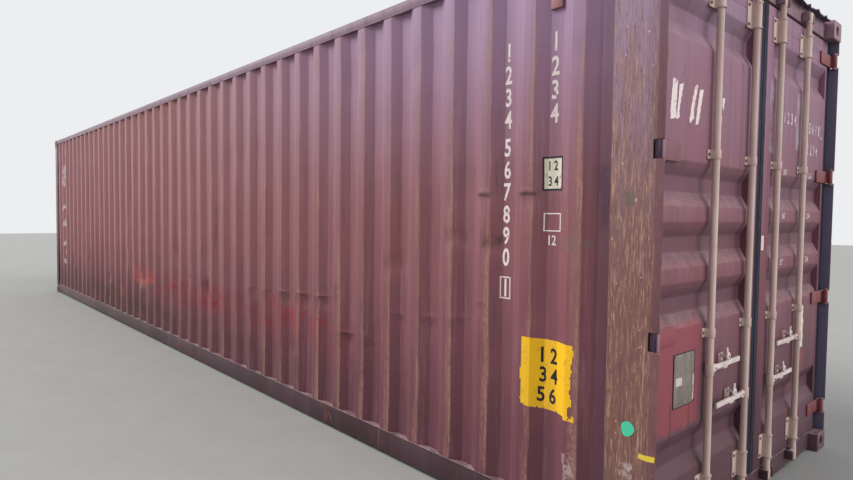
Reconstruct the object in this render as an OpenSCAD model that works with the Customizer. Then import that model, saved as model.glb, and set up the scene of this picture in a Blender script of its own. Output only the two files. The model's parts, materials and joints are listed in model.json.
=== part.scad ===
/* [Overall size] */
// Outer length over the corner castings, along X
overall_l = 12192; // [9000:1:13800]
// Outer width over the corner castings, along Y
overall_w = 2438; // [2300:1:2600]
// Outer height over the corner castings, along Z
overall_h = 2896; // [2860:1:3000]

/* [Corner castings] */
// Casting length along X
casting_l = 178; // [174:1:200]
// Casting width along Y
casting_w = 162; // [158:1:176]
// Casting height along Z
casting_h = 118; // [114:1:124]
// Thickness of the casting wall that carries the twistlock slot
casting_plate = 28; // [20:1:34]
// Thickness of the casting's outer walls
casting_outer = 14; // [12:0.5:16]
// Thickness of the casting's two inner walls
casting_wall = 11; // [8:0.5:13]
// Twistlock slot length
slot_l = 124; // [110:1:128]
// Twistlock slot width
slot_w = 63.5; // [50:0.5:70]
// Slot centre from the casting's end face
slot_from_end = 103.5; // [100:0.5:104]
// Slot centre from the casting's side face
slot_from_side = 89.5; // [80:0.5:100]
// Width of the side hole
side_hole_w = 79.5; // [60:0.5:90]
// Height of the side hole
side_hole_h = 51; // [40:1:60]
// Width of the end hole
end_hole_w = 51; // [40:1:60]
// Height of the end hole
end_hole_h = 66; // [55:1:70]
// Distance of the side hole's middle from the slot's middle
side_hole_shift = 2; // [0:0.5:4]
// Lower edge of the side hole from the slotted wall
side_hole_up = 4; // [2:0.5:8]
// Lower edge of the end hole from the slotted wall
end_hole_up = 2; // [1:0.5:6]

/* [Frame members] */
// How far the rails and posts stand back from the castings' side and top faces
set_back = 6; // [3:0.5:9]
// How far the end frames stand back from the castings' end faces
end_set_back = 5; // [3:0.5:9]
// Plate thickness of posts, sills and headers
frame_plate = 6; // [4:0.5:8]
// Clear height from the ground to the bottom side rail
rail_lift = 17; // [12:1:22]
// Height of the bottom side rail
bottom_rail_h = 146; // [140:1:160]
// Width of the bottom side rail's flanges
bottom_rail_flange = 43; // [40:1:60]
// Sheet thickness of the bottom side rail
bottom_rail_t = 4.5; // [3:0.5:6]
// Size of the square tubes along the top edges
top_rail = 60; // [50:1:64]
// Wall thickness of the square tubes
top_rail_t = 3; // [2:0.5:5]
// Length of the rear post's box section
rear_box_l = 139; // [110:1:160]
// Length of the rear post's outer fin beside the door
rear_fin_l = 105; // [100:1:112]
// Depth of the rear post's box section
rear_box_w = 43; // [40:1:60]
// Gap from the rear post's outer fin to the end of the castings
fin_end_gap = 6; // [3:1:12]

/* [Sills and headers] */
// Depth of the door sill and door header behind the doors
rear_beam_l = 100; // [70:1:140]
// Height of the door sill's outer step
sill_step_h = 125; // [115:1:130]
// Underside of the door sill and front sill
sill_lift = 15; // [12:1:25]
// Underside of the door header's outer step
header_step_drop = 111; // [105:1:116]
// Depth of the door header from the container's top
header_h = 151; // [130:1:170]
// Depth of the front sill along X
front_sill_l = 60; // [50:1:90]

/* [Sheet walls] */
// How far the side walls' outer flats stand back from the rails' face
wall_set_back = 1; // [0.5:0.5:4]
// Sheet thickness of walls, roof and door panels
sheet = 2; // [1.5:0.1:3]
// Depth of the side wall's corrugation
wall_depth = 36; // [25:1:38]
// Width of the side wall's outer flats
wall_outer = 72; // [60:1:80]
// Width of the side wall's inner flats
wall_inner = 74; // [60:1:80]
// Run of the side wall's slopes
wall_slope = 70; // [55:1:75]
// From the last outer flat's edge to the rear post
wall_rear_margin = 149; // [100:1:160]
// Least flat of the side wall before its first wave
wall_front_margin = 5; // [5:1:60]
// How far the front wall stands back from the front posts' face
front_line = 2; // [0:0.5:6]
// Depth of the front wall's corrugation
front_depth = 45; // [30:1:50]
// Width of the front wall's outer flats
front_outer = 110; // [80:1:120]
// Width of the front wall's inner flats
front_inner = 104; // [80:1:110]
// Run of the front wall's slopes
front_slope = 18; // [12:1:24]
// Depth of the roof's pressed troughs
trough_depth = 20; // [10:1:24]
// Spacing of the roof's troughs
trough_pitch = 209; // [180:1:260]
// Width of a trough at its floor
trough_floor = 91; // [60:1:100]
// Run of a trough's slopes
trough_slope = 13.5; // [8:0.5:20]
// Flat margin of the roof sheet beside the troughs
roof_margin = 100; // [80:1:140]
// Least distance of a trough's middle from the corner castings
trough_margin = 60; // [60:1:200]
// Thickness of the corner plates on the roof
corner_plate = 3; // [2:0.5:3.5]
// Length of a corner plate along the roof
corner_plate_l = 300; // [200:1:400]
// Length of a corner plate across the roof
corner_plate_w = 302; // [200:1:400]
// Width of a corner plate's two ends
corner_plate_end = 60; // [30:1:120]

/* [Floor] */
// Thickness of the plywood floor
floor_t = 28; // [24:1:32]
// Height of the cross members
cross_h = 122; // [110:1:128]
// Flange width of the cross members
cross_flange = 45; // [35:1:60]
// Plate thickness of the cross members
cross_t = 4; // [3:0.5:6]
// Gap between the cross members and the bottom rails' lower flanges
cross_gap = 0.5; // [0.5:0.5:3]
// Spacing of the cross members
cross_pitch = 305; // [250:1:400]
// From the door sill to the nearest cross member
sill_to_cross = 160; // [60:1:250]
// From the end of the tunnel to its nearest outrigger
tunnel_to_cross = 20; // [10:1:60]
// Gap between the floor and the top side flanges
floor_gap = 1; // [0.5:0.5:4]
// Inner width of the gooseneck tunnel
tunnel_w = 1029; // [1000:1:1070]
// Underside of the tunnel's roof plate
tunnel_h = 120; // [110:1:124]
// Length of the gooseneck tunnel from the front end
tunnel_l = 3315; // [3000:1:3600]
// Plate thickness of the tunnel
tunnel_t = 6; // [4:1:8]

/* [Doors] */
// Thickness of a door leaf
leaf_t = 50; // [40:1:56]
// Gap between a leaf and the frame behind it
leaf_gap = 5; // [4:0.5:8]
// Gap between the leaf's ends and the sill or header step
leaf_end_gap = 10; // [6:1:14]
// Half of the steel-to-steel gap between the two leaves
centre_gap = 46; // [20:1:50]
// Gap between a leaf's hinge edge and the post's box
hinge_side_gap = 33; // [25:1:45]
// Width of the leaf's centre tube
leaf_centre_tube = 104; // [80:1:130]
// Width of the leaf's hinge tube
leaf_hinge_tube = 25; // [20:1:60]
// Height of the leaf's top and bottom tubes
leaf_end_tube = 100; // [80:1:130]
// Depth of the door panel's recesses
recess_depth = 36; // [20:1:40]
// Run of the recess slopes
recess_slope = 70; // [50:1:80]
// Height of the recess floors
recess_floor = 70; // [50:1:80]
// Lowest recess above the leaf's foot
recess_low = 343; // [310:1:380]
// Middle recess above the leaf's middle
recess_mid = 5.5; // [-30:0.5:30]
// Spacing of the three middle recesses
recess_pitch = 279; // [250:1:300]
// Top recess below the leaf's head
recess_top = 283; // [260:1:330]
// Half of the gap between the two centre gaskets
gasket_gap = 4; // [4:0.5:8]
// Height of the gasket's lips past the leaf's head and foot
gasket_lip = 5; // [3:0.5:5]
// How far the gasket stands back from both faces of the leaf
gasket_inset = 5; // [1:0.5:8]

/* [Hinges] */
// Radius of the hinge pins
pin_r = 8; // [6:0.5:10]
// Pin centre from the container's end
pin_from_end = 26; // [24:1:30]
// Pin centre from the container's side
pin_from_side = 23; // [20:1:28]
// Radius of the hinge knuckles
knuckle_r = 15; // [12:0.5:16]
// Height of the hinge blades
blade_h = 80; // [60:1:100]
// Thickness of the hinge blades
blade_t = 10; // [8:0.5:12]
// Reach of a blade from the pin onto the leaf
blade_reach = 216; // [180:1:260]
// How far a pin stands past its lugs
pin_head = 3; // [1:0.5:8]
// Clearance around the pin in its knuckle
pin_gap = 0.3; // [0.2:0.1:0.6]
// Gap between a knuckle and the inner end of its notch
notch_gap = 14; // [10:1:20]
// Clearance above and below a knuckle
knuckle_gap = 1; // [0.5:0.5:2]
// Thickness of the hinge lugs
lug_t = 12; // [8:1:16]
// Lowest hinge above the leaf's foot
hinge_low = 155; // [110:1:260]
// Second hinge above the leaf's foot
hinge_second = 916; // [780:1:1040]
// Third hinge below the leaf's head
hinge_third = 901; // [780:1:1040]
// Top hinge below the leaf's head
hinge_top = 118; // [100:1:260]
// Thickness of the blade's neck beside its knuckle
neck_t = 14; // [10:1:15]
// How far the neck reaches outside the pin's centre
neck_out = 2; // [0:0.5:4]

/* [Locking gear] */
// Radius of the lock rods
rod_r = 17; // [14:0.5:18]
// Rod centre in front of the leaf
rod_off = 26; // [26:0.5:28]
// Distance of the inner rods from the container's middle
inner_rod_y = 190; // [180:1:240]
// Distance of the outer rods from the container's middle
outer_rod_y = 645; // [600:1:700]
// Clearance around a rod in its brackets
rod_gap = 0.8; // [0.5:0.1:1.5]
// Outer radius of the rod brackets
bracket_r = 21.5; // [20:0.5:25]
// Radius of the rings around the end brackets
ring_r = 25; // [22:0.5:26]
// Height of the rings around the end brackets
ring_h = 8; // [5:1:14]
// Half width of the end brackets' base plates
bracket_base = 75; // [50:1:90]
// Half width of the small guides' base plates
guide_base = 45; // [35:1:60]
// Thickness of the base plates
base_t = 6; // [4:1:8]
// Height of the small guide brackets
guide_h = 44; // [30:1:60]
// Height of the tall end brackets
end_bracket_h = 136; // [90:1:160]
// Distance of the end brackets from the leaf's head and foot
end_bracket_up = 57; // [50:1:80]
// Lower guide above the leaf's foot
guide_low = 891; // [860:1:940]
// Upper guide below the leaf's head
guide_high = 883; // [850:1:950]
// Radius of the cams' round bodies
cam_r = 20; // [19:0.5:21]
// Height of the cams
cam_h = 62; // [50:1:66]
// Reach of the cam's nose from the rod's centre
cam_reach = 38; // [30:1:44]
// Thickness of the cam's nose
cam_nose = 16; // [12:1:20]
// Side clearance between a cam and its keeper
keeper_gap = 8; // [6:0.5:10]
// Thickness of the keeper cheeks
keeper_t = 12; // [8:1:16]
// Reach of the keeper cheeks from the sill and header
keeper_l = 46; // [30:1:52]
// Outer rods' handles above the leaf's foot
outer_handle = 711; // [640:1:770]
// Inner rods' handles above the leaf's foot
inner_handle = 511; // [490:1:560]
// Length of a handle past its pivot
handle_l = 318; // [280:1:340]
// Height of the handle bar
handle_h = 26; // [22:1:32]
// Thickness of the handle bar
handle_t = 10; // [8:0.5:12]
// Distance of the handle's pivot from the rod's centre
pivot_off = 45; // [40:1:60]
// Radius of the clamping collar on the rod
collar_r = 21; // [19:0.5:21]
// Height of the clamping collar
collar_h = 58; // [50:1:80]
// Thickness of the pivot cheeks
cheek_t = 5; // [4:0.5:6]
// How far the cheeks reach past the handle's pivot
cheek_end = 12; // [8:1:16]
// Radius of the small pivot pins
small_pin_r = 5; // [4:0.5:6]
// How far a small pin stands past what it carries
small_pin_head = 2; // [1:0.5:4]
// Gap between a handle and its cheeks or rest
handle_gap = 0.5; // [0.3:0.1:1]
// Distance of the retainer from its rod's centre
retainer_off = 180; // [160:1:200]
// Half width of the retainer
retainer_w = 26; // [20:1:32]
// Thickness of the retainer's shelf
shelf_t = 8; // [5:1:12]
// How far the shelf reaches past the front of the handle
shelf_front = 2; // [0:0.5:4]
// How far the retainer's base plate reaches below its shelf
retainer_foot = 12; // [4:1:20]
// Height of the catch's pivot above the handle
catch_up = 40; // [37:1:50]
// Radius of the post that carries the catch
catch_post_r = 9; // [7:0.5:10]
// Thickness of the catch
catch_t = 6; // [5:0.5:8]
// Radius of the catch's head
catch_r = 11; // [9:0.5:13]
// Reach of the catch past its pivot
catch_l = 44; // [38:1:60]
// Width of the catch's tongue
catch_w = 16; // [12:1:20]
// Tilt of the open catch towards its rod, in degrees
catch_tilt = 10; // [0:1:30]
// Clearance between the handle and the closed catch
catch_gap = 5; // [5:0.5:6]

/* [Fittings] */
// Width of the data plate
plate_w = 210; // [150:1:220]
// Height of the data plate
plate_h = 250; // [200:1:280]
// Centre of the data plate from the container's middle
plate_y = 862; // [840:1:900]
// Underside of the data plate above the leaf's foot
plate_up = 571; // [550:1:630]
// Thickness of the data plate
plate_t = 2; // [1:0.5:3]
// Width of a ventilator
vent_w = 70; // [50:1:72]
// Height of a ventilator
vent_h = 120; // [90:1:150]
// Depth of a ventilator
vent_d = 14; // [10:1:20]
// Ventilators' middle below the wall's top
vent_drop = 190; // [170:1:230]
// Wave of the wall, counted from the front, beside the front ventilators
vent_wave = 3; // [2:1:6]

/* [Hidden] */
$fn = 48;
maroon = [0.45, 0.28, 0.31];
rust_steel = [0.45, 0.33, 0.28];
rod_paint = [0.68, 0.60, 0.54];
rubber = [0.18, 0.18, 0.22];
// How far a cut runs past the faces that it opens
over = 1;
end_x = overall_l / 2;
side_y = overall_w / 2;
face_x = end_x - end_set_back;
face_y = side_y - set_back;
casting_in_x = end_x - casting_l;
casting_in_y = side_y - casting_w;
casting_top_z = overall_h - casting_h;
rail_top = rail_lift + bottom_rail_h;
top_z = overall_h - set_back;
wall_top = top_z - top_rail;
fin_x = end_x - fin_end_gap;
box_x = fin_x - rear_fin_l;
post_x = box_x - rear_box_l;
box_in_y = face_y - rear_box_w;
fin_y = face_y - frame_plate;
leaf_in = box_x + leaf_gap;
leaf_out = leaf_in + leaf_t;
leaf_side = box_in_y - hinge_side_gap;
leaf_z0 = sill_step_h + leaf_end_gap;
header_step_z = overall_h - header_step_drop;
leaf_z1 = casting_top_z - leaf_end_gap;
rod_x = leaf_out + rod_off;
pin_x = end_x - pin_from_end;
pin_y = side_y - pin_from_side;
notch_x = pin_x - knuckle_r - notch_gap;
hinge_z = [leaf_z0 + hinge_low, leaf_z0 + hinge_second, leaf_z1 - hinge_third, leaf_z1 - hinge_top];
cross_z = rail_lift + bottom_rail_t + cross_gap;
floor_z = cross_z + cross_h;
floor_top = floor_z + floor_t;
rail_in_y = face_y - bottom_rail_flange;
throat_y = min(box_in_y, rail_in_y);
beam_x = box_x - rear_beam_l;
tunnel_out_y = tunnel_w / 2 + tunnel_t;
tunnel_end = -end_x + tunnel_l;
wall_pitch = wall_outer + 2 * wall_slope + wall_inner;
wall_out_y = face_y - wall_set_back;
wall_in_y = wall_out_y - wall_depth;
wall_last = post_x - wall_rear_margin;
wall_room = wall_last - wall_outer - wall_slope - wall_front_margin + casting_in_x;
wall_waves = floor(wall_room / wall_pitch) + 1;
front_pitch = front_outer + 2 * front_slope + front_inner;
front_waves = floor((2 * casting_in_y - front_inner) / front_pitch);
trough_top = trough_floor + 2 * trough_slope;
trough_half = side_y - top_rail - roof_margin;
trough_count = floor(2 * (casting_in_x - trough_margin) / trough_pitch);
rail_web_y = face_y - bottom_rail_t;
rear_cross = beam_x - sill_to_cross - cross_flange;
cross_count = floor((rear_cross - tunnel_end) / cross_pitch) + 1;
first_outrigger = tunnel_end - tunnel_to_cross - cross_flange;
outrigger_count = floor((first_outrigger + face_x - front_sill_l) / cross_pitch);
// Rod centres from the left side to the right, and the way each handle points
rod_y = [-outer_rod_y, -inner_rod_y, inner_rod_y, outer_rod_y];
handle_way = [1, -1, 1, -1];
handle_z = [leaf_z0 + outer_handle, leaf_z0 + inner_handle, leaf_z0 + inner_handle, leaf_z0 + outer_handle];
leaf_mid = (leaf_z0 + leaf_z1) / 2 + recess_mid;
recess_z = [leaf_z0 + recess_low, leaf_mid - recess_pitch, leaf_mid, leaf_mid + recess_pitch,
            leaf_z1 - recess_top];
cam_z = sill_step_h - cam_h;
cam_z1 = header_step_z;
catch_x = rod_x + handle_t / 2 + catch_gap;

// A slot with round ends, long axis along X, centred on the origin
module oblong(l, w, h) {
    translate([-(l - w) / 2, -w / 2, 0]) cube([l - w, w, h]);
    for (s = [-1, 1]) translate([s * (l - w) / 2, 0, 0]) cylinder(r = w / 2, h = h);
}

// A copy on each side of the middle plane
module both_sides() {
    children();
    mirror([0, 1, 0]) children();
}

// One corner casting, outer corner at the origin, slot in its underside
module casting() {
    difference() {
        cube([casting_l, casting_w, casting_h]);
        translate([casting_outer, casting_outer, casting_plate])
            cube([casting_l - casting_outer - casting_wall, casting_w - casting_outer - casting_wall,
                  casting_h - casting_plate - casting_outer]);
        translate([slot_from_end, slot_from_side, -over]) oblong(slot_l, slot_w, casting_plate + 2 * over);
        translate([slot_from_end - side_hole_shift, casting_outer + over,
                   casting_plate + side_hole_h / 2 + side_hole_up])
            rotate([90, 0, 0]) oblong(side_hole_w, side_hole_h, casting_outer + 2 * over);
        translate([-over, slot_from_side, casting_plate + end_hole_h / 2 + end_hole_up])
            rotate([0, 90, 0]) oblong(end_hole_h, end_hole_w, casting_outer + 2 * over);
    }
}

module casting_pair() {
    both_sides() translate([0, -side_y, 0]) {
        translate([-end_x, 0, 0]) casting();
        translate([end_x, 0, 0]) mirror([1, 0, 0]) casting();
    }
}

module castings_bottom() {
    color(maroon) casting_pair();
}

module castings_top() {
    color(maroon) translate([0, 0, overall_h]) mirror([0, 0, 1]) casting_pair();
}

// Front post: a folded section with a flange returned inward at each edge
module front_post() {
    t = frame_plate;
    h = casting_top_z - casting_h;
    side_l = face_x - casting_in_x;
    end_l = face_y - casting_in_y;
    color(maroon) translate([-face_x, -face_y, casting_h]) {
        cube([side_l, t, h]);
        cube([t, end_l, h]);
        translate([side_l - t, 0, 0]) cube([t, face_y - wall_in_y + sheet, h]);
        translate([0, end_l - t, 0]) cube([front_line + front_depth + sheet, t, h]);
    }
}

module front_post_left() {
    front_post();
}

module front_post_right() {
    mirror([0, 1, 0]) front_post();
}

// Rear post: a box section behind the door's hinge edge
module rear_post() {
    color(rust_steel) translate([post_x, -face_y, rail_top])
        cube([rear_box_l, rear_box_w, casting_top_z - rail_top]);
}

module rear_post_left() {
    rear_post();
}

module rear_post_right() {
    mirror([0, 1, 0]) rear_post();
}

// The plate along each post's outer edge, with a notch at each hinge
module rear_fins() {
    color(rust_steel) both_sides() difference() {
        translate([box_x, -face_y, casting_h])
            cube([fin_x - box_x, frame_plate, casting_top_z - casting_h]);
        for (z = hinge_z)
            translate([notch_x, -face_y - over, z - blade_h / 2 - knuckle_gap])
                cube([fin_x, frame_plate + 2 * over, blade_h + 2 * knuckle_gap]);
    }
}

// The blocks that tie each rear post to its top rail, and down to its bottom casting
module rear_gussets() {
    color(rust_steel) both_sides() {
        translate([post_x, -face_y, casting_top_z])
            cube([casting_in_x - post_x, rear_box_w, wall_top - casting_top_z]);
        translate([casting_in_x, -face_y, casting_h])
            cube([box_x - casting_in_x, rear_box_w, rail_top - casting_h]);
    }
}

// The lugs above and below each notch, with the pin through them
module hinge_lugs() {
    seat = fin_y - pin_y;
    color(rust_steel) both_sides() for (z = hinge_z) translate([pin_x, -pin_y, z]) {
        for (s = [-1, 1]) translate([0, 0, s * (blade_h / 2 + knuckle_gap + lug_t / 2)]) difference() {
            union() {
                cylinder(r = knuckle_r, h = lug_t, center = true);
                translate([-knuckle_r, -seat, -lug_t / 2]) cube([2 * knuckle_r, seat, lug_t]);
            }
            translate([-2 * knuckle_r, -seat - knuckle_r, -lug_t])
                cube([4 * knuckle_r, knuckle_r, 2 * lug_t]);
        }
        cylinder(r = pin_r, h = blade_h + 2 * (knuckle_gap + lug_t + pin_head), center = true);
    }
}

// A hollow beam across the end from its outline in X and Z
module beam(outline, inner, half) {
    translate([0, half, 0]) rotate([90, 0, 0]) linear_extrude(2 * half) difference() {
        polygon(outline);
        polygon(inner);
    }
}

// A stepped outline: a step at the foot, and an upright behind the doors
function stepped(x0, x1, x2, z0, z1, z2) =
    [[x0, z0], [x2, z0], [x2, z1], [x1, z1], [x1, z2], [x0, z2]];

// The beam's end above or below a casting, out to the rear post
module beam_end(z0, z1) {
    t = frame_plate;
    both_sides() translate([beam_x, -throat_y, z0]) difference() {
        cube([rear_beam_l, throat_y - casting_in_y, z1 - z0]);
        translate([t, -over, t])
            cube([rear_beam_l - 2 * t, throat_y - casting_in_y + 2 * over, z1 - z0 - 2 * t]);
    }
}

module door_sill() {
    t = frame_plate;
    color(maroon) {
        beam(stepped(beam_x, box_x, leaf_out, sill_lift, sill_step_h, floor_top),
            stepped(beam_x + t, box_x - t, leaf_out - t, sill_lift + t, sill_step_h - t, floor_top - t),
            casting_in_y);
        beam_end(casting_h, floor_top);
    }
}

module door_header() {
    t = frame_plate;
    z2 = overall_h - header_h;
    color(maroon) {
        beam(stepped(beam_x, box_x, leaf_out, top_z, header_step_z, z2),
            stepped(beam_x + t, box_x - t, leaf_out - t, top_z - t, header_step_z + t, z2 + t),
            casting_in_y);
        beam_end(z2, casting_top_z);
    }
}

module front_header() {
    color(maroon) difference() {
        translate([-face_x, -casting_in_y, wall_top]) cube([top_rail, 2 * casting_in_y, top_rail]);
        translate([-face_x + top_rail_t, -casting_in_y - over, wall_top + top_rail_t])
            cube([top_rail - 2 * top_rail_t, 2 * (casting_in_y + over), top_rail - 2 * top_rail_t]);
    }
}

// Front sill: a hollow beam with the gooseneck tunnel cut out of it
module front_sill() {
    t = frame_plate;
    h = rail_top - sill_lift;
    color(maroon) difference() {
        translate([-face_x, -casting_in_y, sill_lift]) cube([front_sill_l, 2 * casting_in_y, h]);
        translate([-face_x + t, -casting_in_y - over, sill_lift + t])
            cube([front_sill_l - 2 * t, 2 * (casting_in_y + over), h - 2 * t]);
        translate([-end_x, -tunnel_out_y, 0]) cube([casting_l, 2 * tunnel_out_y, tunnel_h + tunnel_t]);
    }
}

module top_rail_side() {
    color(maroon) difference() {
        translate([-casting_in_x, -face_y, wall_top]) cube([2 * casting_in_x, top_rail, top_rail]);
        translate([-casting_in_x - over, -face_y + top_rail_t, wall_top + top_rail_t])
            cube([2 * (casting_in_x + over), top_rail - 2 * top_rail_t, top_rail - 2 * top_rail_t]);
    }
}

module top_rail_left() {
    top_rail_side();
}

module top_rail_right() {
    mirror([0, 1, 0]) top_rail_side();
}

// Bottom side rail: a channel that opens inward
module bottom_rail() {
    t = bottom_rail_t;
    color(maroon) translate([-casting_in_x, -face_y, rail_lift]) difference() {
        cube([2 * casting_in_x, bottom_rail_flange, bottom_rail_h]);
        translate([-over, t, t])
            cube([2 * (casting_in_x + over), bottom_rail_flange, bottom_rail_h - 2 * t]);
    }
}

module bottom_rail_left() {
    bottom_rail();
}

module bottom_rail_right() {
    mirror([0, 1, 0]) bottom_rail();
}

// The side wall's outer line in X and Y: one wave is a slope, an outer flat, a slope and an inner flat
function wave_points(k) =
    let (x = wall_last - wall_pitch * k)
    [[x - wall_outer - wall_slope, -wall_in_y], [x - wall_outer, -wall_out_y],
     [x, -wall_out_y], [x + wall_slope, -wall_in_y]];

wall_line = concat([[-casting_in_x, -wall_in_y]],
    [for (k = [wall_waves - 1:-1:0]) each wave_points(k)],
    [[post_x, -wall_in_y]]);

module side_wall() {
    n = len(wall_line);
    inner = [for (i = [n - 1:-1:0]) wall_line[i] + [0, sheet]];
    color(maroon) translate([0, 0, rail_top]) linear_extrude(wall_top - rail_top)
        polygon(concat(wall_line, inner));
}

module side_wall_left() {
    side_wall();
}

module side_wall_right() {
    mirror([0, 1, 0]) side_wall();
}

// Front wall: upright waves between the posts' return flanges
module front_wall() {
    x_out = -face_x + front_line;
    x_in = x_out + front_depth;
    start = -front_pitch * front_waves / 2 + front_inner / 2;
    edge = casting_in_y;
    line = concat([[x_in, -edge]],
        [for (k = [0:front_waves - 1]) let (y = start + k * front_pitch)
            each [[x_in, y], [x_out, y + front_slope], [x_out, y + front_slope + front_outer],
                  [x_in, y + 2 * front_slope + front_outer]]],
        [[x_in, edge]]);
    n = len(line);
    inner = [for (i = [n - 1:-1:0]) line[i] + [sheet, 0]];
    color(maroon) translate([0, 0, rail_top]) linear_extrude(wall_top - rail_top)
        polygon(concat(line, inner));
}

// Outline of one trough in X and Z, widened at the top and lowered by drop
function trough(x, top, drop, grow) =
    [[x - trough_top / 2 - grow, top], [x - trough_floor / 2 - grow, top - drop],
     [x + trough_floor / 2 + grow, top - drop], [x + trough_top / 2 + grow, top]];

// Roof sheet with pressed troughs across it and a plate over each corner
module roof() {
    top = top_z + sheet;
    first = -(trough_count - 1) * trough_pitch / 2;
    color(maroon) {
        difference() {
            union() {
                translate([-casting_in_x, -face_y, top_z]) cube([2 * casting_in_x, 2 * face_y, sheet]);
                for (k = [0:trough_count - 1]) translate([0, trough_half, 0]) rotate([90, 0, 0])
                    linear_extrude(2 * trough_half)
                    polygon(trough(first + k * trough_pitch, top_z + sheet / 2, trough_depth, sheet));
            }
            for (k = [0:trough_count - 1]) translate([0, trough_half - sheet, 0]) rotate([90, 0, 0])
                linear_extrude(2 * (trough_half - sheet))
                polygon(trough(first + k * trough_pitch, top + over, trough_depth, 0));
        }
        both_sides() for (s = [-1, 1]) translate([s * casting_in_x, -face_y, top])
            linear_extrude(corner_plate)
            polygon([[0, 0], [-s * corner_plate_l, 0], [-s * corner_plate_l, corner_plate_end],
                     [-s * corner_plate_end, corner_plate_w], [0, corner_plate_w]]);
    }
}

// The plates that close the roof over the headers, between the corner castings
module header_plates() {
    color(maroon) for (x = [[-face_x, -casting_in_x], [casting_in_x, leaf_out]])
        translate([x[0], -casting_in_y, top_z]) cube([x[1] - x[0], 2 * casting_in_y, sheet]);
}

// A channel across the underframe, with its web at x and its flanges towards the doors
module channel(x, y0, y1) {
    t = cross_t;
    translate([x, y0, cross_z]) difference() {
        cube([cross_flange, y1 - y0, cross_h]);
        translate([t, -over, t]) cube([cross_flange, y1 - y0 + 2 * over, cross_h - 2 * t]);
    }
}

module cross_members() {
    color(maroon) for (k = [0:cross_count - 1])
        channel(rear_cross - k * cross_pitch, -rail_web_y, rail_web_y);
}

module tunnel_outriggers() {
    color(maroon) both_sides() for (k = [0:outrigger_count - 1])
        channel(first_outrigger - k * cross_pitch, -rail_web_y, -tunnel_out_y);
}

// Gooseneck tunnel: a roof plate between two upright webs, with bows up to the floor
module gooseneck_tunnel() {
    l = tunnel_end + face_x;
    z0 = cross_z;
    color(maroon) {
        translate([-face_x, -tunnel_out_y, tunnel_h]) cube([l, 2 * tunnel_out_y, tunnel_t]);
        both_sides() translate([-face_x, -tunnel_out_y, z0]) cube([l, tunnel_t, tunnel_h - z0]);
        for (k = [0:outrigger_count - 1])
            translate([first_outrigger - k * cross_pitch, -tunnel_out_y, tunnel_h + tunnel_t])
                cube([cross_flange, 2 * tunnel_out_y, floor_z - tunnel_h - tunnel_t]);
    }
}

module floor_deck() {
    x0 = -face_x + front_sill_l;
    y = rail_in_y - floor_gap;
    color("burlywood") translate([x0, -y, floor_z]) cube([beam_x - x0, 2 * y, floor_t]);
}

// Two cheeks beside each cam, open in front so that the cam leaves as the door swings
module keeper(nose_side) {
    near = cam_r + keeper_gap;
    far = cam_reach + keeper_gap;
    for (y = [nose_side > 0 ? far : -far - keeper_t, nose_side > 0 ? -near - keeper_t : near])
        translate([leaf_out, y, 0]) cube([keeper_l, keeper_t, cam_h]);
}

module cam_keepers() {
    color(maroon) for (i = [0:3]) translate([0, rod_y[i], 0]) {
        translate([0, 0, cam_z]) keeper(handle_way[i]);
        translate([0, 0, cam_z1]) keeper(handle_way[i]);
    }
}

// A cover over each ventilation opening, in a recess near both ends of both walls
module ventilators() {
    recess = wall_last - wall_outer - wall_slope - wall_inner / 2;
    low = recess - (wall_waves - vent_wave) * wall_pitch;
    z = wall_top - vent_drop - vent_h / 2;
    color(maroon) both_sides() for (x = [recess, low])
        translate([x - vent_w / 2, -wall_in_y - vent_d, z]) cube([vent_w, vent_d, vent_h]);
}

// Left leaf's frame: four tubes around the panel
module leaf_frame() {
    h = leaf_z1 - leaf_z0;
    w = leaf_side - centre_gap;
    color(maroon) translate([leaf_in, -leaf_side, leaf_z0]) difference() {
        cube([leaf_t, w, h]);
        translate([-over, leaf_hinge_tube, leaf_end_tube])
            cube([leaf_t + 2 * over, w - leaf_hinge_tube - leaf_centre_tube, h - 2 * leaf_end_tube]);
    }
}

// Left leaf's panel: a folded sheet with level recesses
module leaf_panel() {
    z0 = leaf_z0 + leaf_end_tube;
    z1 = leaf_z1 - leaf_end_tube;
    a = recess_floor / 2 + recess_slope;
    b = recess_floor / 2;
    x = leaf_out;
    line = concat([[x, z0]],
        [for (z = recess_z) each [[x, z - a], [x - recess_depth, z - b],
                                  [x - recess_depth, z + b], [x, z + a]]],
        [[x, z1]]);
    n = len(line);
    inner = [for (i = [n - 1:-1:0]) line[i] - [sheet, 0]];
    y0 = -leaf_side + leaf_hinge_tube;
    y1 = -centre_gap - leaf_centre_tube;
    color(maroon) translate([0, y1, 0]) rotate([90, 0, 0]) linear_extrude(y1 - y0)
        polygon(concat(line, inner));
}

// Left leaf's gasket: strips at both edges, and at the head and foot
module leaf_gasket() {
    g = gasket_gap;
    d = leaf_t - 2 * gasket_inset;
    foot = gasket_lip;
    y_out = fin_y - leaf_gap;
    color(rubber) translate([leaf_in + gasket_inset, 0, 0]) {
        translate([0, -y_out, leaf_z0]) cube([d, y_out - leaf_side, leaf_z1 - leaf_z0]);
        translate([0, -centre_gap, leaf_z0]) cube([d, centre_gap - g, leaf_z1 - leaf_z0]);
        translate([0, -y_out, leaf_z0 - foot]) cube([d, y_out - g, foot]);
        translate([0, -y_out, leaf_z1]) cube([d, y_out - g, foot]);
    }
}

// Left leaf's hinge blades: a plate on the leaf's face, and a knuckle around the pin
module leaf_hinges() {
    color(rust_steel) for (z = hinge_z) translate([pin_x, -pin_y, z]) difference() {
        union() {
            cylinder(r = knuckle_r, h = blade_h, center = true);
            translate([leaf_out - pin_x, -neck_out, -blade_h / 2])
                cube([blade_t, blade_reach + neck_out, blade_h]);
            translate([leaf_out - pin_x, -neck_out, -blade_h / 2])
                cube([pin_x - leaf_out, neck_t, blade_h]);
        }
        cylinder(r = pin_r + pin_gap, h = blade_h + 2 * over, center = true);
    }
}

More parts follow.
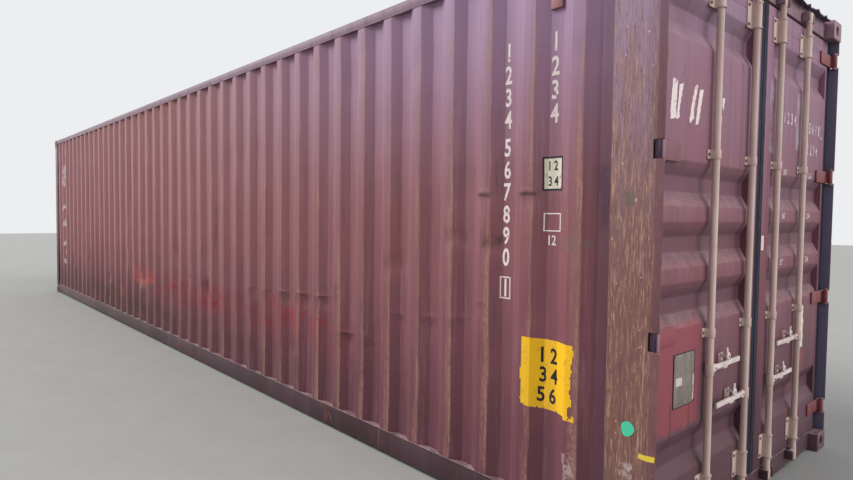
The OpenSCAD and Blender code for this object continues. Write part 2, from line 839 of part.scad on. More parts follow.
// A guide around a rod: a base plate, and a block with the rod's bore
module rod_guide(h, base) {
    difference() {
        union() {
            translate([leaf_out, -base, 0]) cube([base_t, 2 * base, h]);
            translate([leaf_out, -bracket_r, 0]) cube([rod_off, 2 * bracket_r, h]);
            translate([rod_x, 0, 0]) cylinder(r = bracket_r, h = h);
            children();
        }
        translate([rod_x, 0, -over]) cylinder(r = rod_r + rod_gap, h = h + 2 * over);
    }
}

// A tall bracket near the end of a rod, with a ring around each of its ends
module end_bracket() {
    rod_guide(end_bracket_h, bracket_base)
        for (z = [0, end_bracket_h - ring_h]) translate([rod_x, 0, z]) cylinder(r = ring_r, h = ring_h);
}

module leaf_brackets() {
    lowest = -handle_h / 2 - handle_gap - shelf_t - retainer_foot;
    color(rod_paint) for (i = [0, 1]) translate([0, rod_y[i], 0]) {
        translate([0, 0, leaf_z0 + end_bracket_up]) end_bracket();
        translate([0, 0, leaf_z1 - end_bracket_up - end_bracket_h]) end_bracket();
        translate([0, 0, leaf_z0 + guide_low - guide_h / 2]) rod_guide(guide_h, guide_base);
        translate([0, 0, leaf_z1 - guide_high - guide_h / 2]) rod_guide(guide_h, guide_base);
        translate([leaf_out, handle_way[i] * retainer_off - retainer_w, handle_z[i] + lowest])
            cube([base_t, 2 * retainer_w, catch_up + catch_r - lowest]);
    }
}

// On each retainer's base plate: a shelf under the handle, and a post and pin that carry the catch
module handle_retainers() {
    front = leaf_out + base_t;
    rest = -handle_h / 2 - handle_gap;
    post_end = catch_x - handle_gap;
    color(rod_paint) for (i = [0, 1])
    translate([front, rod_y[i] + handle_way[i] * retainer_off, handle_z[i]]) {
        translate([0, -retainer_w, rest - shelf_t])
            cube([rod_x + handle_t / 2 + shelf_front - front, 2 * retainer_w, shelf_t]);
        translate([0, 0, catch_up]) rotate([0, 90, 0]) {
            cylinder(r = catch_post_r, h = post_end - front);
            cylinder(r = small_pin_r, h = catch_x + catch_t + small_pin_head - front);
        }
    }
}

module data_plate() {
    color("dimgray") translate([leaf_out, -plate_y - plate_w / 2, leaf_z0 + plate_up])
        cube([plate_t, plate_w, plate_h]);
}

// One lock rod: the tube, a cam at each end, and a collar with cheeks for its handle
module lock_rod(i) {
    w = handle_way[i];
    inner = handle_t / 2 + handle_gap;
    cheek_l = pivot_off + cheek_end;
    color(rod_paint) translate([rod_x, rod_y[i], 0]) {
        translate([0, 0, cam_z]) cylinder(r = rod_r, h = cam_z1 + cam_h - cam_z);
        for (z = [cam_z, cam_z1]) translate([0, 0, z]) {
            cylinder(r = cam_r, h = cam_h);
            translate([-cam_nose / 2, w > 0 ? 0 : -cam_reach, 0]) cube([cam_nose, cam_reach, cam_h]);
        }
        translate([0, 0, handle_z[i] - collar_h / 2]) cylinder(r = collar_r, h = collar_h);
        for (x = [inner, -inner - cheek_t])
            translate([x, w > 0 ? 0 : -cheek_l, handle_z[i] - handle_h / 2])
                cube([cheek_t, cheek_l, handle_h]);
        translate([-inner - cheek_t - small_pin_head, w * pivot_off, handle_z[i]]) rotate([0, 90, 0])
            cylinder(r = small_pin_r, h = 2 * (inner + cheek_t + small_pin_head));
    }
}

// One handle: a flat bar with a round eye at its pivot
module handle(i) {
    w = handle_way[i];
    color(rod_paint) translate([rod_x - handle_t / 2, rod_y[i] + w * pivot_off, handle_z[i]]) difference() {
        union() {
            rotate([0, 90, 0]) cylinder(r = handle_h / 2, h = handle_t);
            translate([0, w > 0 ? 0 : -handle_l, -handle_h / 2]) cube([handle_t, handle_l, handle_h]);
        }
        translate([-over, 0, 0]) rotate([0, 90, 0])
            cylinder(r = small_pin_r + pin_gap, h = handle_t + 2 * over);
    }
}

// One catch, turned up at rest, that closes downward in front of the handle
module catch(i) {
    w = handle_way[i];
    color(rod_paint) translate([catch_x, rod_y[i] + w * retainer_off, handle_z[i] + catch_up])
        rotate([w * catch_tilt, 0, 0]) difference() {
            union() {
                rotate([0, 90, 0]) cylinder(r = catch_r, h = catch_t);
                translate([0, -catch_w / 2, 0]) cube([catch_t, catch_w, catch_l]);
            }
            translate([-over, 0, 0]) rotate([0, 90, 0])
                cylinder(r = small_pin_r + pin_gap, h = catch_t + 2 * over);
        }
}

castings_top();
castings_bottom();
front_post_left();
front_post_right();
rear_post_left();
rear_post_right();
rear_fins();
rear_gussets();
hinge_lugs();
front_header();
front_sill();
door_header();
door_sill();
top_rail_left();
top_rail_right();
bottom_rail_left();
bottom_rail_right();
side_wall_left();
side_wall_right();
front_wall();
roof();
header_plates();
cross_members();
tunnel_outriggers();
gooseneck_tunnel();
floor_deck();  // floor
cam_keepers();
ventilators();
leaf_frame();  // left_door_frame
leaf_panel();  // left_door_panel
leaf_gasket();  // left_door_gasket
leaf_hinges();  // left_door_hinges
leaf_brackets();  // left_door_brackets
handle_retainers();  // left_handle_retainers
data_plate();
mirror([0, 1, 0]) leaf_frame();  // right_door_frame
mirror([0, 1, 0]) leaf_panel();  // right_door_panel
mirror([0, 1, 0]) leaf_gasket();  // right_door_gasket
mirror([0, 1, 0]) leaf_hinges();  // right_door_hinges
mirror([0, 1, 0]) leaf_brackets();  // right_door_brackets
mirror([0, 1, 0]) handle_retainers();  // right_handle_retainers
lock_rod(0);  // lock_rod_1
lock_rod(1);  // lock_rod_2
lock_rod(2);  // lock_rod_3
lock_rod(3);  // lock_rod_4
handle(0);  // handle_1
handle(1);  // handle_2
handle(2);  // handle_3
handle(3);  // handle_4
catch(0);  // catch_1
catch(1);  // catch_2
catch(2);  // catch_3
catch(3);  // catch_4
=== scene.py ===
import functools
import json
import math
import random

import bmesh
import bpy
from mathutils import Matrix, Vector, noise
from mathutils.bvhtree import BVHTree


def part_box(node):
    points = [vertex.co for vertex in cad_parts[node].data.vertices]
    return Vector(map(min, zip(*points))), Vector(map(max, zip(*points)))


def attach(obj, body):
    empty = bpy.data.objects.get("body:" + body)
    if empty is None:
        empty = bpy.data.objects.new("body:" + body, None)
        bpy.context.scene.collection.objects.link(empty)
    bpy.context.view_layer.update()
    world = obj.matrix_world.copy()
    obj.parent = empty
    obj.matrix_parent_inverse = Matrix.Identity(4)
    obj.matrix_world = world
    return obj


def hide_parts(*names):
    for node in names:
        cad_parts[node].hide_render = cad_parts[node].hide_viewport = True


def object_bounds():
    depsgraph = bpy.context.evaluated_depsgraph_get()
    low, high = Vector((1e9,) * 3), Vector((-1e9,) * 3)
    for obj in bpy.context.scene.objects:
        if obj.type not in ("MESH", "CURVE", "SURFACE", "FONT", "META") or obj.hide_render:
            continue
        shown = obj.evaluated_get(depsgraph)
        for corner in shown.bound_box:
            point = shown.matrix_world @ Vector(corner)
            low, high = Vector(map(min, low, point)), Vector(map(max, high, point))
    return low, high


# %% [markdown]
# A worn 40 ft shipping container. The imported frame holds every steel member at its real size. This
# script dresses it: folded walls and door panels are grown again with round bends and dents, welded
# and forged pieces get soft edges, and each surface gets paint, rust and dirt made from nodes.
# Everything is in metres. X runs towards the doors, Y to the right seen from behind them, Z up.

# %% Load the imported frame
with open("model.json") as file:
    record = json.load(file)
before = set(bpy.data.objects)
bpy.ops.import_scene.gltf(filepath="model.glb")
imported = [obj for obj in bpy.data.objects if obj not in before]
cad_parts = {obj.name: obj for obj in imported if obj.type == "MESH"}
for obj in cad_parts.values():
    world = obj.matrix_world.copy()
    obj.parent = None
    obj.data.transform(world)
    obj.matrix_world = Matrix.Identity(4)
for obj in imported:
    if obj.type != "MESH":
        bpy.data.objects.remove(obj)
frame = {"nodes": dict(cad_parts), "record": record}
nodes = frame["nodes"]
scene = bpy.context.scene
cad_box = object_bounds()
print("nodes", len(nodes), "box", [tuple(round(c, 3) for c in corner) for corner in cad_box])

# %% [markdown]
# The camera stands where the photographer stood, a little beyond the door end and 3.6 m left of the
# middle. Its place and lens were fitted to edges of known size, so only their results are kept here.

# %% Camera
picture_width = 853
focal_pixels = 596.9
camera_place = Vector((7.2809, -3.5950, 1.5813))
camera_turn, camera_tip, camera_roll = (math.radians(a) for a in (48.087, -2.453, 0.702))


def camera_axes():
    """The camera's right, up and backward directions from its three angles."""
    ahead = Vector((-math.sin(camera_turn) * math.cos(camera_tip),
                    math.cos(camera_turn) * math.cos(camera_tip), math.sin(camera_tip)))
    level = Vector((math.cos(camera_turn), math.sin(camera_turn), 0))
    above = level.cross(ahead)
    right = math.cos(camera_roll) * level + math.sin(camera_roll) * above
    up = math.cos(camera_roll) * above - math.sin(camera_roll) * level
    return right, up, -ahead


camera = bpy.data.objects.new("camera", bpy.data.cameras.new("camera"))
camera.data.sensor_width = 36
camera.data.lens = camera.data.sensor_width * focal_pixels / picture_width
camera.matrix_world = Matrix.Translation(camera_place) @ Matrix(camera_axes()).transposed().to_4x4()
scene.collection.objects.link(camera)
scene.camera = camera
print("lens", round(camera.data.lens, 2), "mm")

# %% [markdown]
# Colours are written as they are read off a screen, 0 to 255, and turned into the linear values that
# Blender's sockets take. Two small classes write a node tree in few lines. A Wire is a node's output,
# and sums and products of wires add Math nodes, so a mask reads like a formula. A Sketch adds the
# other nodes: each call joins what it is given and hands back the new node's output.


# %% Colours and wires
def tint(red, green, blue):
    """A screen colour as a linear RGBA value."""
    shares = [c / 255 for c in (red, green, blue)]
    return (*[s / 12.92 if s < 0.04 else ((s + 0.055) / 1.055) ** 2.4 for s in shares], 1.0)


class Wire:
    """One output in a node tree, which can be added, multiplied and mapped."""

    def __init__(self, sketch, socket):
        self.sketch, self.socket = sketch, socket

    def math(self, operation, other=0.0, other_first=False):
        pair = (other, self) if other_first else (self, other)
        return self.sketch.add("ShaderNodeMath", dict(enumerate(pair)), operation=operation)

    def __add__(self, other):
        return self.math("ADD", other)

    def __mul__(self, other):
        return self.math("MULTIPLY", other)

    def __sub__(self, other):
        return self.math("SUBTRACT", other)

    def __rsub__(self, other):
        return self.math("SUBTRACT", other, True)

    def __truediv__(self, other):
        return self.math("DIVIDE", other)

    def __rtruediv__(self, other):
        return self.math("DIVIDE", other, True)

    def size(self):
        return self.math("ABSOLUTE")

    def larger(self, other):
        return self.math("MAXIMUM", other)

    def step(self, low, high):
        """0 below low, 1 above high, with a smooth change between; low may be the larger one."""
        kinds = {"Value": self, "From Min": low, "From Max": high}
        return self.sketch.add("ShaderNodeMapRange", kinds, interpolation_type="SMOOTHSTEP")

    def mapped(self, low, high, start=0.0, end=1.0):
        """The values from start to end, laid evenly on those from low to high."""
        kinds = {"Value": self, "From Min": start, "From Max": end, "To Min": low, "To Max": high}
        return self.sketch.add("ShaderNodeMapRange", kinds)


# %% Sketches of node trees
class Sketch:
    """Adds nodes to one node tree."""

    def __init__(self, tree):
        self.tree = tree

    def join(self, value, socket):
        """Links a wire to an input, or writes a plain value there; a colour is given as 0 to 255."""
        if isinstance(value, Wire):
            self.tree.links.new(value.socket, socket)
        else:
            socket.default_value = tint(*value) if socket.type == "RGBA" else value

    def add(self, kind, inputs=None, out=0, **settings):
        """A new node; out says which of its outputs is handed back, and None all of them by name."""
        node = self.tree.nodes.new(kind)
        for name, value in settings.items():
            setattr(node, name, value)
        for key, value in (inputs or {}).items():
            self.join(value, node.inputs[key])
        wires = [Wire(self, socket) for socket in node.outputs]
        return {wire.socket.name: wire for wire in wires} if out is None else wires[out]

    def group(self, tree, **inputs):
        """Puts a finished group into this tree and returns its outputs by name."""
        return self.add("ShaderNodeGroup", inputs, None, node_tree=tree)

    def axes(self, vector):
        return list(self.add("ShaderNodeSeparateXYZ", {0: vector}, None).values())

    @functools.cached_property
    def place(self):
        """The object's own coordinates, which stay on the steel when a door swings."""
        return self.add("ShaderNodeTexCoord", out=3)

    @functools.cached_property
    def xyz(self):
        return self.axes(self.place)

    def blend(self, amount, a, b, way="MIX"):
        """Colour a, with b over it by amount."""
        kinds = {0: amount, 6: a, 7: b}
        return self.add("ShaderNodeMix", kinds, out=2, data_type="RGBA", blend_type=way)

    def vector(self, operation, a, b):
        return self.add("ShaderNodeVectorMath", {0: a, 3 if operation == "SCALE" else 1: b}, operation=operation)

    def noise(self, vector, scale, detail=3.0, rough=0.55, warp=0.0):
        kinds = {"Vector": vector, "Scale": scale, "Detail": detail, "Roughness": rough, "Distortion": warp}
        return self.add("ShaderNodeTexNoise", kinds)

    def grain(self, stretch, *values):
        """Noise on the object's own coordinates, squeezed by a factor for each axis."""
        return self.noise(self.vector("MULTIPLY", self.place, stretch), *values)

    def close(self, **results):
        """Ends a group with one named output for each result, and returns its tree."""
        sorts = {"VALUE": "Float", "RGBA": "Color", "GEOMETRY": "Geometry"}
        for label, wire in results.items():
            self.tree.interface.new_socket(label, in_out="OUTPUT", socket_type="NodeSocket" + sorts[wire.socket.type])
        end = self.tree.nodes.new("NodeGroupOutput")
        for label, wire in results.items():
            self.join(wire, end.inputs[label])
        return self.tree


def new_group(name, kind, **inputs):
    """A node group with named inputs. A start value gives an input's type, and so does a word."""
    tree = bpy.data.node_groups.new(name, kind)
    for label, start in inputs.items():
        sort = start if isinstance(start, str) else {float: "Float", int: "Int", tuple: "Vector"}[type(start)]
        label = label.replace("_", " ")
        socket = tree.interface.new_socket(label, in_out="INPUT", socket_type="NodeSocket" + sort)
        if start != sort:
            socket.default_value = start
    sketch = Sketch(tree)
    return sketch, sketch.add("NodeGroupInput", out=None)


def new_material(name):
    material = bpy.data.materials.new(name)
    material.use_nodes = True
    return material, Sketch(material.node_tree)


# %% [markdown]
# Old paint fails in ways that many surfaces share, so each way is a node group. The first gives weather:
# broad fading, rain streaks that run down from the top, and grime that gathers near the ground. All of
# it is laid out by the object's own coordinates, so it stays on the steel when a door swings.

# %% Weather group
weather, given = new_group("weather", "ShaderNodeTree", Ground=0.55)
height = weather.xyz[2]
middle = weather.grain((1, 1, 0.3), 5.0, 3, 0.6)
weather = weather.close(
    Fade=(weather.grain((1, 1, 0.45), 0.9, 4, 0.6) + middle * 0.35).step(0.5, 0.85),
    Streaks=weather.grain((26, 26, 0.55), 1.0, 4, 0.65).step(0.42, 0.75),
    Grime=(height + middle * 0.9).step(given["Ground"] + 0.7, given["Ground"]),
    Grain=weather.noise(weather.place, 90.0, 3, 0.7), Height=height)
print("weather", len(weather.nodes), "nodes")

# %% [markdown]
# Rust starts in spots where paint is chipped and runs down in brown streaks. The next group gives a mask
# of spots, a wider halo around them, and a colour that wanders from orange to nearly black.

# %% Rust group
rust, given = new_group("rust", "ShaderNodeTree", Amount=0.3, Size=14.0)
level = rust.grain((1, 1, 0.35), given["Size"], 5, 0.68, 0.3) * 0.75 + rust.grain((1, 1, 0.55), 2.2, 3, 0.6) * 0.35
edge = 0.82 - given["Amount"] * 0.42
speckle = rust.noise(rust.place, 160.0, 3, 0.7)
brown = rust.blend(rust.grain((1, 1, 0.3), 24.0, 4, 0.7).step(0.35, 0.68), (74, 46, 36), (150, 96, 62))
rust = rust.close(Mask=level.step(edge, edge + 0.035), Halo=level.step(edge - 0.09, edge + 0.02),
                  Colour=rust.blend(speckle.step(0.55, 0.75), brown, (182, 128, 88)))
print("rust", len(rust.nodes), "nodes")

# %% [markdown]
# Scrapes are long thin marks. This group draws them as stretched noise cut off high, in three
# directions: down the wall, along it, and slanting, so that they never look like a pattern.

# %% Scrape group
scrapes, given = new_group("scrapes", "ShaderNodeTree", Amount=0.3)
cut = 0.86 - given["Amount"] * 0.25
masks = []
for stretch, turn in (((60, 60, 1.1), 0.0), ((1.2, 1.2, 70), 0.0), ((45, 45, 2.5), 0.5)):
    turned = scrapes.add("ShaderNodeVectorRotate", {"Vector": scrapes.place, "Angle": turn}, rotation_type="Y_AXIS")
    lines = scrapes.noise(scrapes.vector("MULTIPLY", turned, stretch), 1.0, 2, 0.5)
    masks.append(lines.step(cut, cut + 0.02))
where = scrapes.noise(scrapes.place, 1.6, 2, 0.5)
scrapes = scrapes.close(Mask=masks[0].larger(masks[1]).larger(masks[2]) * where.step(0.42, 0.6))
print("scrapes", len(scrapes.nodes), "nodes")

# %% [markdown]
# Many marks sit at one place: a repainted band, a smear, a worn letter. A soft box gives such a mask
# from a centre and half sizes, and noise moves its border so that it looks hand-made.

# %% Patch group
patch, given = new_group("patch", "ShaderNodeTree", Middle=(0, 0, 0), Half=(1, 1, 1), Ragged=0.05, Soft=0.05)
push = patch.add("ShaderNodeTexNoise", {"Vector": patch.place, "Scale": 7.0, "Detail": 4.0, "Roughness": 0.7}, 1)
push = patch.vector("SCALE", patch.vector("SUBTRACT", push, (0.5, 0.5, 0.5)), given["Ragged"])
from_middle = patch.vector("ADD", patch.vector("SUBTRACT", patch.place, given["Middle"]), push)
inside = [(half - off.size()).step(0.0, given["Soft"])
          for off, half in zip(patch.axes(from_middle), patch.axes(given["Half"]))]
patch = patch.close(Mask=inside[0] * inside[1] * inside[2])
print("patch", len(patch.nodes), "nodes")

# %% [markdown]
# Every painted surface is made by one function. It lays the groups over each other in the order in which they
# happened: paint, fading, streaks, grime, scrapes, rust, then dust on what faces up, with painted shade on what faces
# down. Extra layers, each a mask and a colour, let a wall or a door carry its own marks and its own painted light and
# shade.


# %% Dust and painted shade, layers and the shader
def dusted_and_shaded(sketch, colour, amount):
    """Dust over colour wherever the surface faces up, and a darker colour where it faces down, partly grime and partly
    painted shade.
    """
    up = sketch.axes(sketch.add("ShaderNodeNewGeometry", out=1))[2]
    lying = up.step(0.2, 0.6) * sketch.noise(sketch.place, 14.0, 4, 0.65).step(0.25, 0.7) * amount
    return sketch.blend(lying, sketch.blend(up.step(-0.2, -0.6) * 0.45, colour, (58, 44, 52)), (176, 148, 146))


def marked(sketch, colour, layers):
    """Lays each layer's own colour over the paint by the layer's mask."""
    for layer in layers:
        mask, over = layer(sketch)
        colour = sketch.blend(mask, colour, over)
    return colour


def finish_shader(sketch, colour, rough, bump=None, strength=0.3, depth=0.001):
    """Joins colour, roughness and bump to the material's surface."""
    surface = sketch.tree.nodes["Principled BSDF"].inputs
    sketch.join(colour, surface["Base Color"])
    sketch.join(rough, surface["Roughness"])
    sketch.join(0.25, surface["Specular IOR Level"])
    if bump:
        relief = sketch.add("ShaderNodeBump", {"Height": bump, "Strength": strength, "Distance": depth})
        sketch.join(relief, surface["Normal"])


# %% Painted steel
def painted(name, shades, grimy, rusting=0.25, scraping=0.3, streak=0.35, dust=0.5, edges=0.6, layers=(),
            dust_rise=(-1.0, 0.0)):
    """Old paint over steel. shades are its colours at the foot, at eye height and at the top. Dust lies only
    above the heights in dust_rise: lower down, rain and passing feet keep the steel clean."""
    material, sketch = new_material(name)
    old = sketch.group(weather)
    spots = sketch.group(rust, Amount=rusting)
    # From the foot to the top the paint gets lighter and bluer: partly fading and grime, partly a painted reflection
    # of the sky.
    colour = sketch.blend(old["Height"].step(0.2, 1.5), shades[0], shades[1])
    colour = sketch.blend(old["Height"].step(1.2, 2.9), colour, shades[2])
    colour = sketch.blend(old["Fade"] * 0.3, colour, shades[2])
    colour = sketch.blend(old["Streaks"] * streak, colour, grimy)
    colour = sketch.blend(old["Grime"] * 0.45, colour, grimy)
    colour = marked(sketch, colour, layers)
    colour = sketch.blend(sketch.group(scrapes, Amount=scraping)["Mask"] * 0.65, colour, (176, 146, 124))
    edge = sketch.add("ShaderNodeAttribute", out=2, attribute_name="edge")
    chipped = sketch.noise(sketch.place, 38.0, 4, 0.7).step(0.42, 0.6)
    colour = sketch.blend(spots["Halo"] * 0.45, colour, (112, 70, 60))
    rusty = spots["Mask"].larger(edge * chipped * edges)
    colour = sketch.blend(rusty, colour, spots["Colour"])
    grain = old["Grain"].mapped(0.93, 1.07)
    colour = sketch.blend(1.0, colour, sketch.add("ShaderNodeCombineXYZ", dict.fromkeys(range(3), grain)), "MULTIPLY")
    colour = dusted_and_shaded(sketch, colour, old["Height"].step(*dust_rise) * dust)
    finish_shader(sketch, colour, rusty.mapped(0.5, 0.9), rusty * 0.6 + old["Grain"] * 0.4, 0.35, 0.0015)
    return material


def spot_layer(middle, half, colour, ragged=0.05, soft=0.05, amount=1.0, broken=None):
    """A patch of colour at one place; broken wears it away with noise of that scale."""
    def layer(sketch):
        mask = sketch.group(patch, Middle=middle, Half=half, Ragged=ragged, Soft=soft)["Mask"] * amount
        if broken:
            mask = mask * sketch.noise(sketch.place, broken, 4, 0.7).step(0.4, 0.62)
        return mask, colour
    return layer


def spot_rows(axis, level, *rows):
    """Patches on a face that looks along an axis. A row holds the place along the face, the height, both
    half sizes, colour, raggedness, softness, amount and, if the patch is broken, the noise's scale."""
    layers = []
    for along, height, half_long, half_high, *finish in rows:
        middle, half = [along, height], [half_long, half_high]
        middle.insert(axis, level)
        half.insert(axis, 0.1)
        layers.append(spot_layer(middle, half, *finish))
    return layers


def outer(layers, axis, way):
    """The layers only where the surface looks out along the axis, so that they don't come through inside."""
    def seen(sketch, layer):
        mask, colour = layer(sketch)
        return mask * sketch.axes(sketch.add("ShaderNodeTexCoord", out=1))[axis].step(0.0, 0.2 * way), colour
    return [functools.partial(seen, layer=layer) for layer in layers]


wall_shades = ((124, 76, 80), (168, 108, 110), (174, 120, 122))
wall_grime = (94, 66, 66)
print("shader groups", len(bpy.data.node_groups))

# %% [markdown]
# The side walls are one sheet folded into waves, and the outer bends take all the rubbing. A mask that
# repeats with the waves finds those bends: the distance from the nearest outer bend, measured along X.

# %% Wave sizes and the wear on the bends
wave_pitch, wave_outer, wave_slope, wave_depth = 0.286, 0.072, 0.070, 0.036
wave_last = 5.697  # the outer bend nearest to the doors
wall_out = 1.212
(wall_front, _, wall_foot), (wall_back, _, wall_head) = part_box("side_wall_left")


def along_wave(sketch, shift=0.0):
    """Metres from the bend at wave_last plus shift, between minus and plus half a wave."""
    turns = (sketch.xyz[0] - (wave_last + shift)) / wave_pitch
    return ((turns + 0.5).math("FRACT") - 0.5) * wave_pitch


def smear_layer(sketch):
    """Tan scuffs on the outer flats: upright scratches, denser towards the bend that faces the doors."""
    along, _, height = sketch.xyz
    off = along_wave(sketch)
    near = off.step(-0.070, -0.002)
    fine = sketch.grain((190, 190, 4.5), 1.0, 4, 0.7)
    patchy = sketch.grain((3.4, 3.4, 0.9), 1.0, 5, 0.7)
    reach = fine * 0.9 + (patchy * 1.05 + near * 0.10) + (height.step(2.7, 1.2) * 0.05 + along.step(0.6, 3.9) * 0.15)
    speck = sketch.grain((120, 120, 34), 1.0, 3, 0.7).step(0.40, 0.56)
    mask = near * off.step(0.008, 0.0) * reach.step(1.14, 1.30) * (speck * 0.5 + 0.32)
    warm = sketch.grain((60, 60, 2), 1.0, 2, 0.5)
    return mask, sketch.blend(warm.step(0.45, 0.6), (150, 106, 96), (174, 128, 108))


def dust_layer(sketch):
    """Pale dust runs on the flats, wide and soft, that break up the even paint."""
    runs = sketch.grain((16, 16, 0.8), 1.0, 6, 0.75)
    return runs.step(0.5, 0.68) * sketch.grain((120, 120, 8), 1.0, 3, 0.6).step(0.3, 0.6) * 0.34, (174, 132, 134)


def stain_layer(sketch):
    """Dark runs and stains of the same kind."""
    return sketch.grain((13, 13, 1.2), 1.0, 6, 0.75, 0.3).step(0.56, 0.7) * 0.42, (84, 56, 64)


def bare_layer(shift, width, share):
    """A thin pale line where a bend has been rubbed bare, broken along its height."""
    def layer(sketch):
        near = along_wave(sketch, shift).size().step(width, width * 0.3)
        gaps = sketch.grain((3.5, 3.5, 2.6), 1.0, 5, 0.7)
        fray = sketch.grain((220, 220, 16), 1.0, 2, 0.6)
        cut = 0.74 - 0.4 * share
        return near * gaps.step(cut, cut + 0.08) * fray.step(0.36, 0.56) * 0.7, (204, 160, 148)
    return layer


def painted_sky_reflection(sketch):
    """A painted reflection of the sky: near the top, and more so towards the doors, the paint takes the sky's colour.
    """
    return sketch.xyz[2].step(1.5, 3.0) * sketch.xyz[0].step(0.0, 5.8) * 0.6, (172, 148, 188)


def near_doors(sketch):
    """The wall is darker and bluer towards the doors and towards its foot."""
    return (sketch.xyz[0] - sketch.xyz[2] * 1.6).step(-5.2, 5.6) * 0.62, (96, 52, 66)


print("waves", round((wall_back - wall_front) / wave_pitch, 1), "wall height", round(wall_head - wall_foot, 3))

# %% [markdown]
# Now the paints. The left wall has what the years left on it: a band repainted in a redder coat, a torn orange-red
# patch low down towards the far end, dark scuffs near the numbers, and grime over the rail. Painted shade darkens two
# creases near the numbers, the notches at 1.68 m and the inner flat beside the post, and a painted reflection of the
# sky lightens the top of both walls.

# %% Wall, frame and roof paints
side_y = -1.21
# Wear on the walls, with the painted reflection of the sky near the top among it.
wall_wear_and_sky_glare = [near_doors, dust_layer, stain_layer, painted_sky_reflection]
low_marks = spot_rows(
    1, side_y,
    (1.6, 0.66, 2.3, 0.24, (144, 54, 64), 0.4, 0.2, 0.6),
    (0.9, 0.70, 0.9, 0.17, (156, 50, 60), 0.4, 0.1, 0.8, 4.0),
    (2.95, 0.74, 0.5, 0.16, (152, 50, 60), 0.4, 0.1, 0.8, 5.0),
    (-0.80, 0.76, 0.42, 0.13, (196, 92, 82), 0.25, 0.06, 0.9, 15.0),
    (-1.75, 0.48, 0.22, 0.09, (180, 86, 76), 0.3, 0.08, 0.8, 15.0),
    (-2.6, 0.30, 3.2, 0.26, (84, 64, 58), 0.5, 0.22, 0.75),
    (-2.4, 0.44, 2.4, 0.22, (78, 62, 54), 0.5, 0.2, 0.7, 3.2),
    (1.4, 0.34, 2.6, 0.14, (88, 66, 64), 0.5, 0.14, 0.55, 2.6))
near_marks_and_shade = spot_rows(
    1, side_y,
    # Dark scuffs over the creases at 4.85 and 5.14 m, which also paint the creases' shade.
    (4.85, 1.45, 0.10, 0.05, (88, 74, 66), 0.2, 0.04, 0.75, 9.0),
    (5.14, 1.46, 0.09, 0.05, (78, 64, 62), 0.2, 0.04, 0.75, 9.0),
    (5.69, 1.45, 0.12, 0.055, (118, 100, 92), 0.14, 0.04, 0.85, 30.0),
    (5.80, 1.68, 0.05, 0.16, (70, 54, 66), 0.1, 0.05, 0.6),
    # Painted shade under the lips of the two notches at 1.68 m.
    (5.08, 1.69, 0.06, 0.02, (86, 60, 66), 0.06, 0.02, 0.8),
    (5.37, 1.69, 0.06, 0.02, (86, 60, 66), 0.06, 0.02, 0.8),
    # Painted shade on the inner flat beside the post, over its full height.
    (5.84, 1.5, 0.10, 1.5, (74, 50, 66), 0.02, 0.05, 0.55),
    (5.655, 0.36, 0.05, 0.10, (196, 178, 170), 0.1, 0.02, 0.6, 40.0),
    (5.66, 0.53, 0.035, 0.09, (160, 122, 104), 0.1, 0.03, 0.7, 34.0))
rubbed = [smear_layer, bare_layer(0.0, 0.0035, 0.42), bare_layer(-wave_outer, 0.003, 0.25)]
paint_wall_left = painted("wall_paint", wall_shades, wall_grime, 0.1, 0.3, 0.3, 0.6,
                          layers=outer(wall_wear_and_sky_glare + low_marks + rubbed + near_marks_and_shade, 1, -1))
paint_wall = painted("plain_wall_paint", wall_shades, wall_grime, 0.2, 0.35, 0.45, 0.6,
                     layers=outer(wall_wear_and_sky_glare + [smear_layer, bare_layer(0.0, 0.0035, 0.4)], 1, 1))
paint_front = painted("front_paint", wall_shades, wall_grime, 0.3, 0.4, 0.45, 0.6)
paint_frame = painted("frame_paint", ((72, 46, 50), (120, 78, 85), (150, 120, 134)), (64, 48, 52), 0.34, 0.5, 0.5, 0.8)
paint_corner = painted("corner_casting_paint", ((92, 62, 67), (126, 88, 95), (152, 118, 130)), (92, 72, 82),
                       0.3, 0.5, 0.4, 0.6)
paint_under = painted("underframe_paint", ((84, 62, 62), (96, 74, 72), (104, 84, 82)), (60, 50, 48),
                      0.55, 0.3, 0.5, 0.4)
paint_roof = painted("roof_paint", ((126, 88, 92),) * 3, (100, 78, 76), 0.4, 0.4, 0.3, 0.7)
print("paints", len(bpy.data.materials))

# %% [markdown]
# A folded wall follows a rule, so Geometry Nodes grow it. The base mesh is only the fold line: one point
# for each bend. The tree rounds the bends with real arcs, sweeps the line up in rows of points and
# pushes shallow dents into it. Rows lie closer in the lower half, where the dents are. Growing it this
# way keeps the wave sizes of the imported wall, and one tree serves walls and door panels alike.


# %% Tools that run a tree
def link(piece):
    scene.collection.objects.link(piece)
    return piece


def mesh_of(name, points, edges=(), faces=()):
    mesh = bpy.data.meshes.new(name)
    mesh.from_pydata(points, edges, faces)
    return mesh


def settled(piece):
    """Applies all modifiers: the piece gets the evaluated result as its own plain mesh."""
    evaluated = piece.evaluated_get(bpy.context.evaluated_depsgraph_get())
    mesh = bpy.data.meshes.new_from_object(evaluated)
    piece.modifiers.clear()
    piece.data = mesh
    mesh.name = piece.name
    return piece


def grown(name, tree, base, **values):
    """Runs a Geometry Nodes tree over a base mesh. The values are the tree's named inputs."""
    piece = link(bpy.data.objects.new(name, base))
    modifier = piece.modifiers.new("grow", "NODES")
    modifier.node_group = tree
    for item in tree.interface.items_tree:
        wanted = item.name.lower().replace(" ", "_")
        if item.item_type == "SOCKET" and item.in_out == "INPUT" and wanted in values:
            modifier[item.identifier] = values[wanted]
    return settled(piece)


def smooth(piece, angle=35):
    piece.data.shade_smooth()
    piece.data.set_sharp_from_angle(angle=math.radians(angle))
    return piece


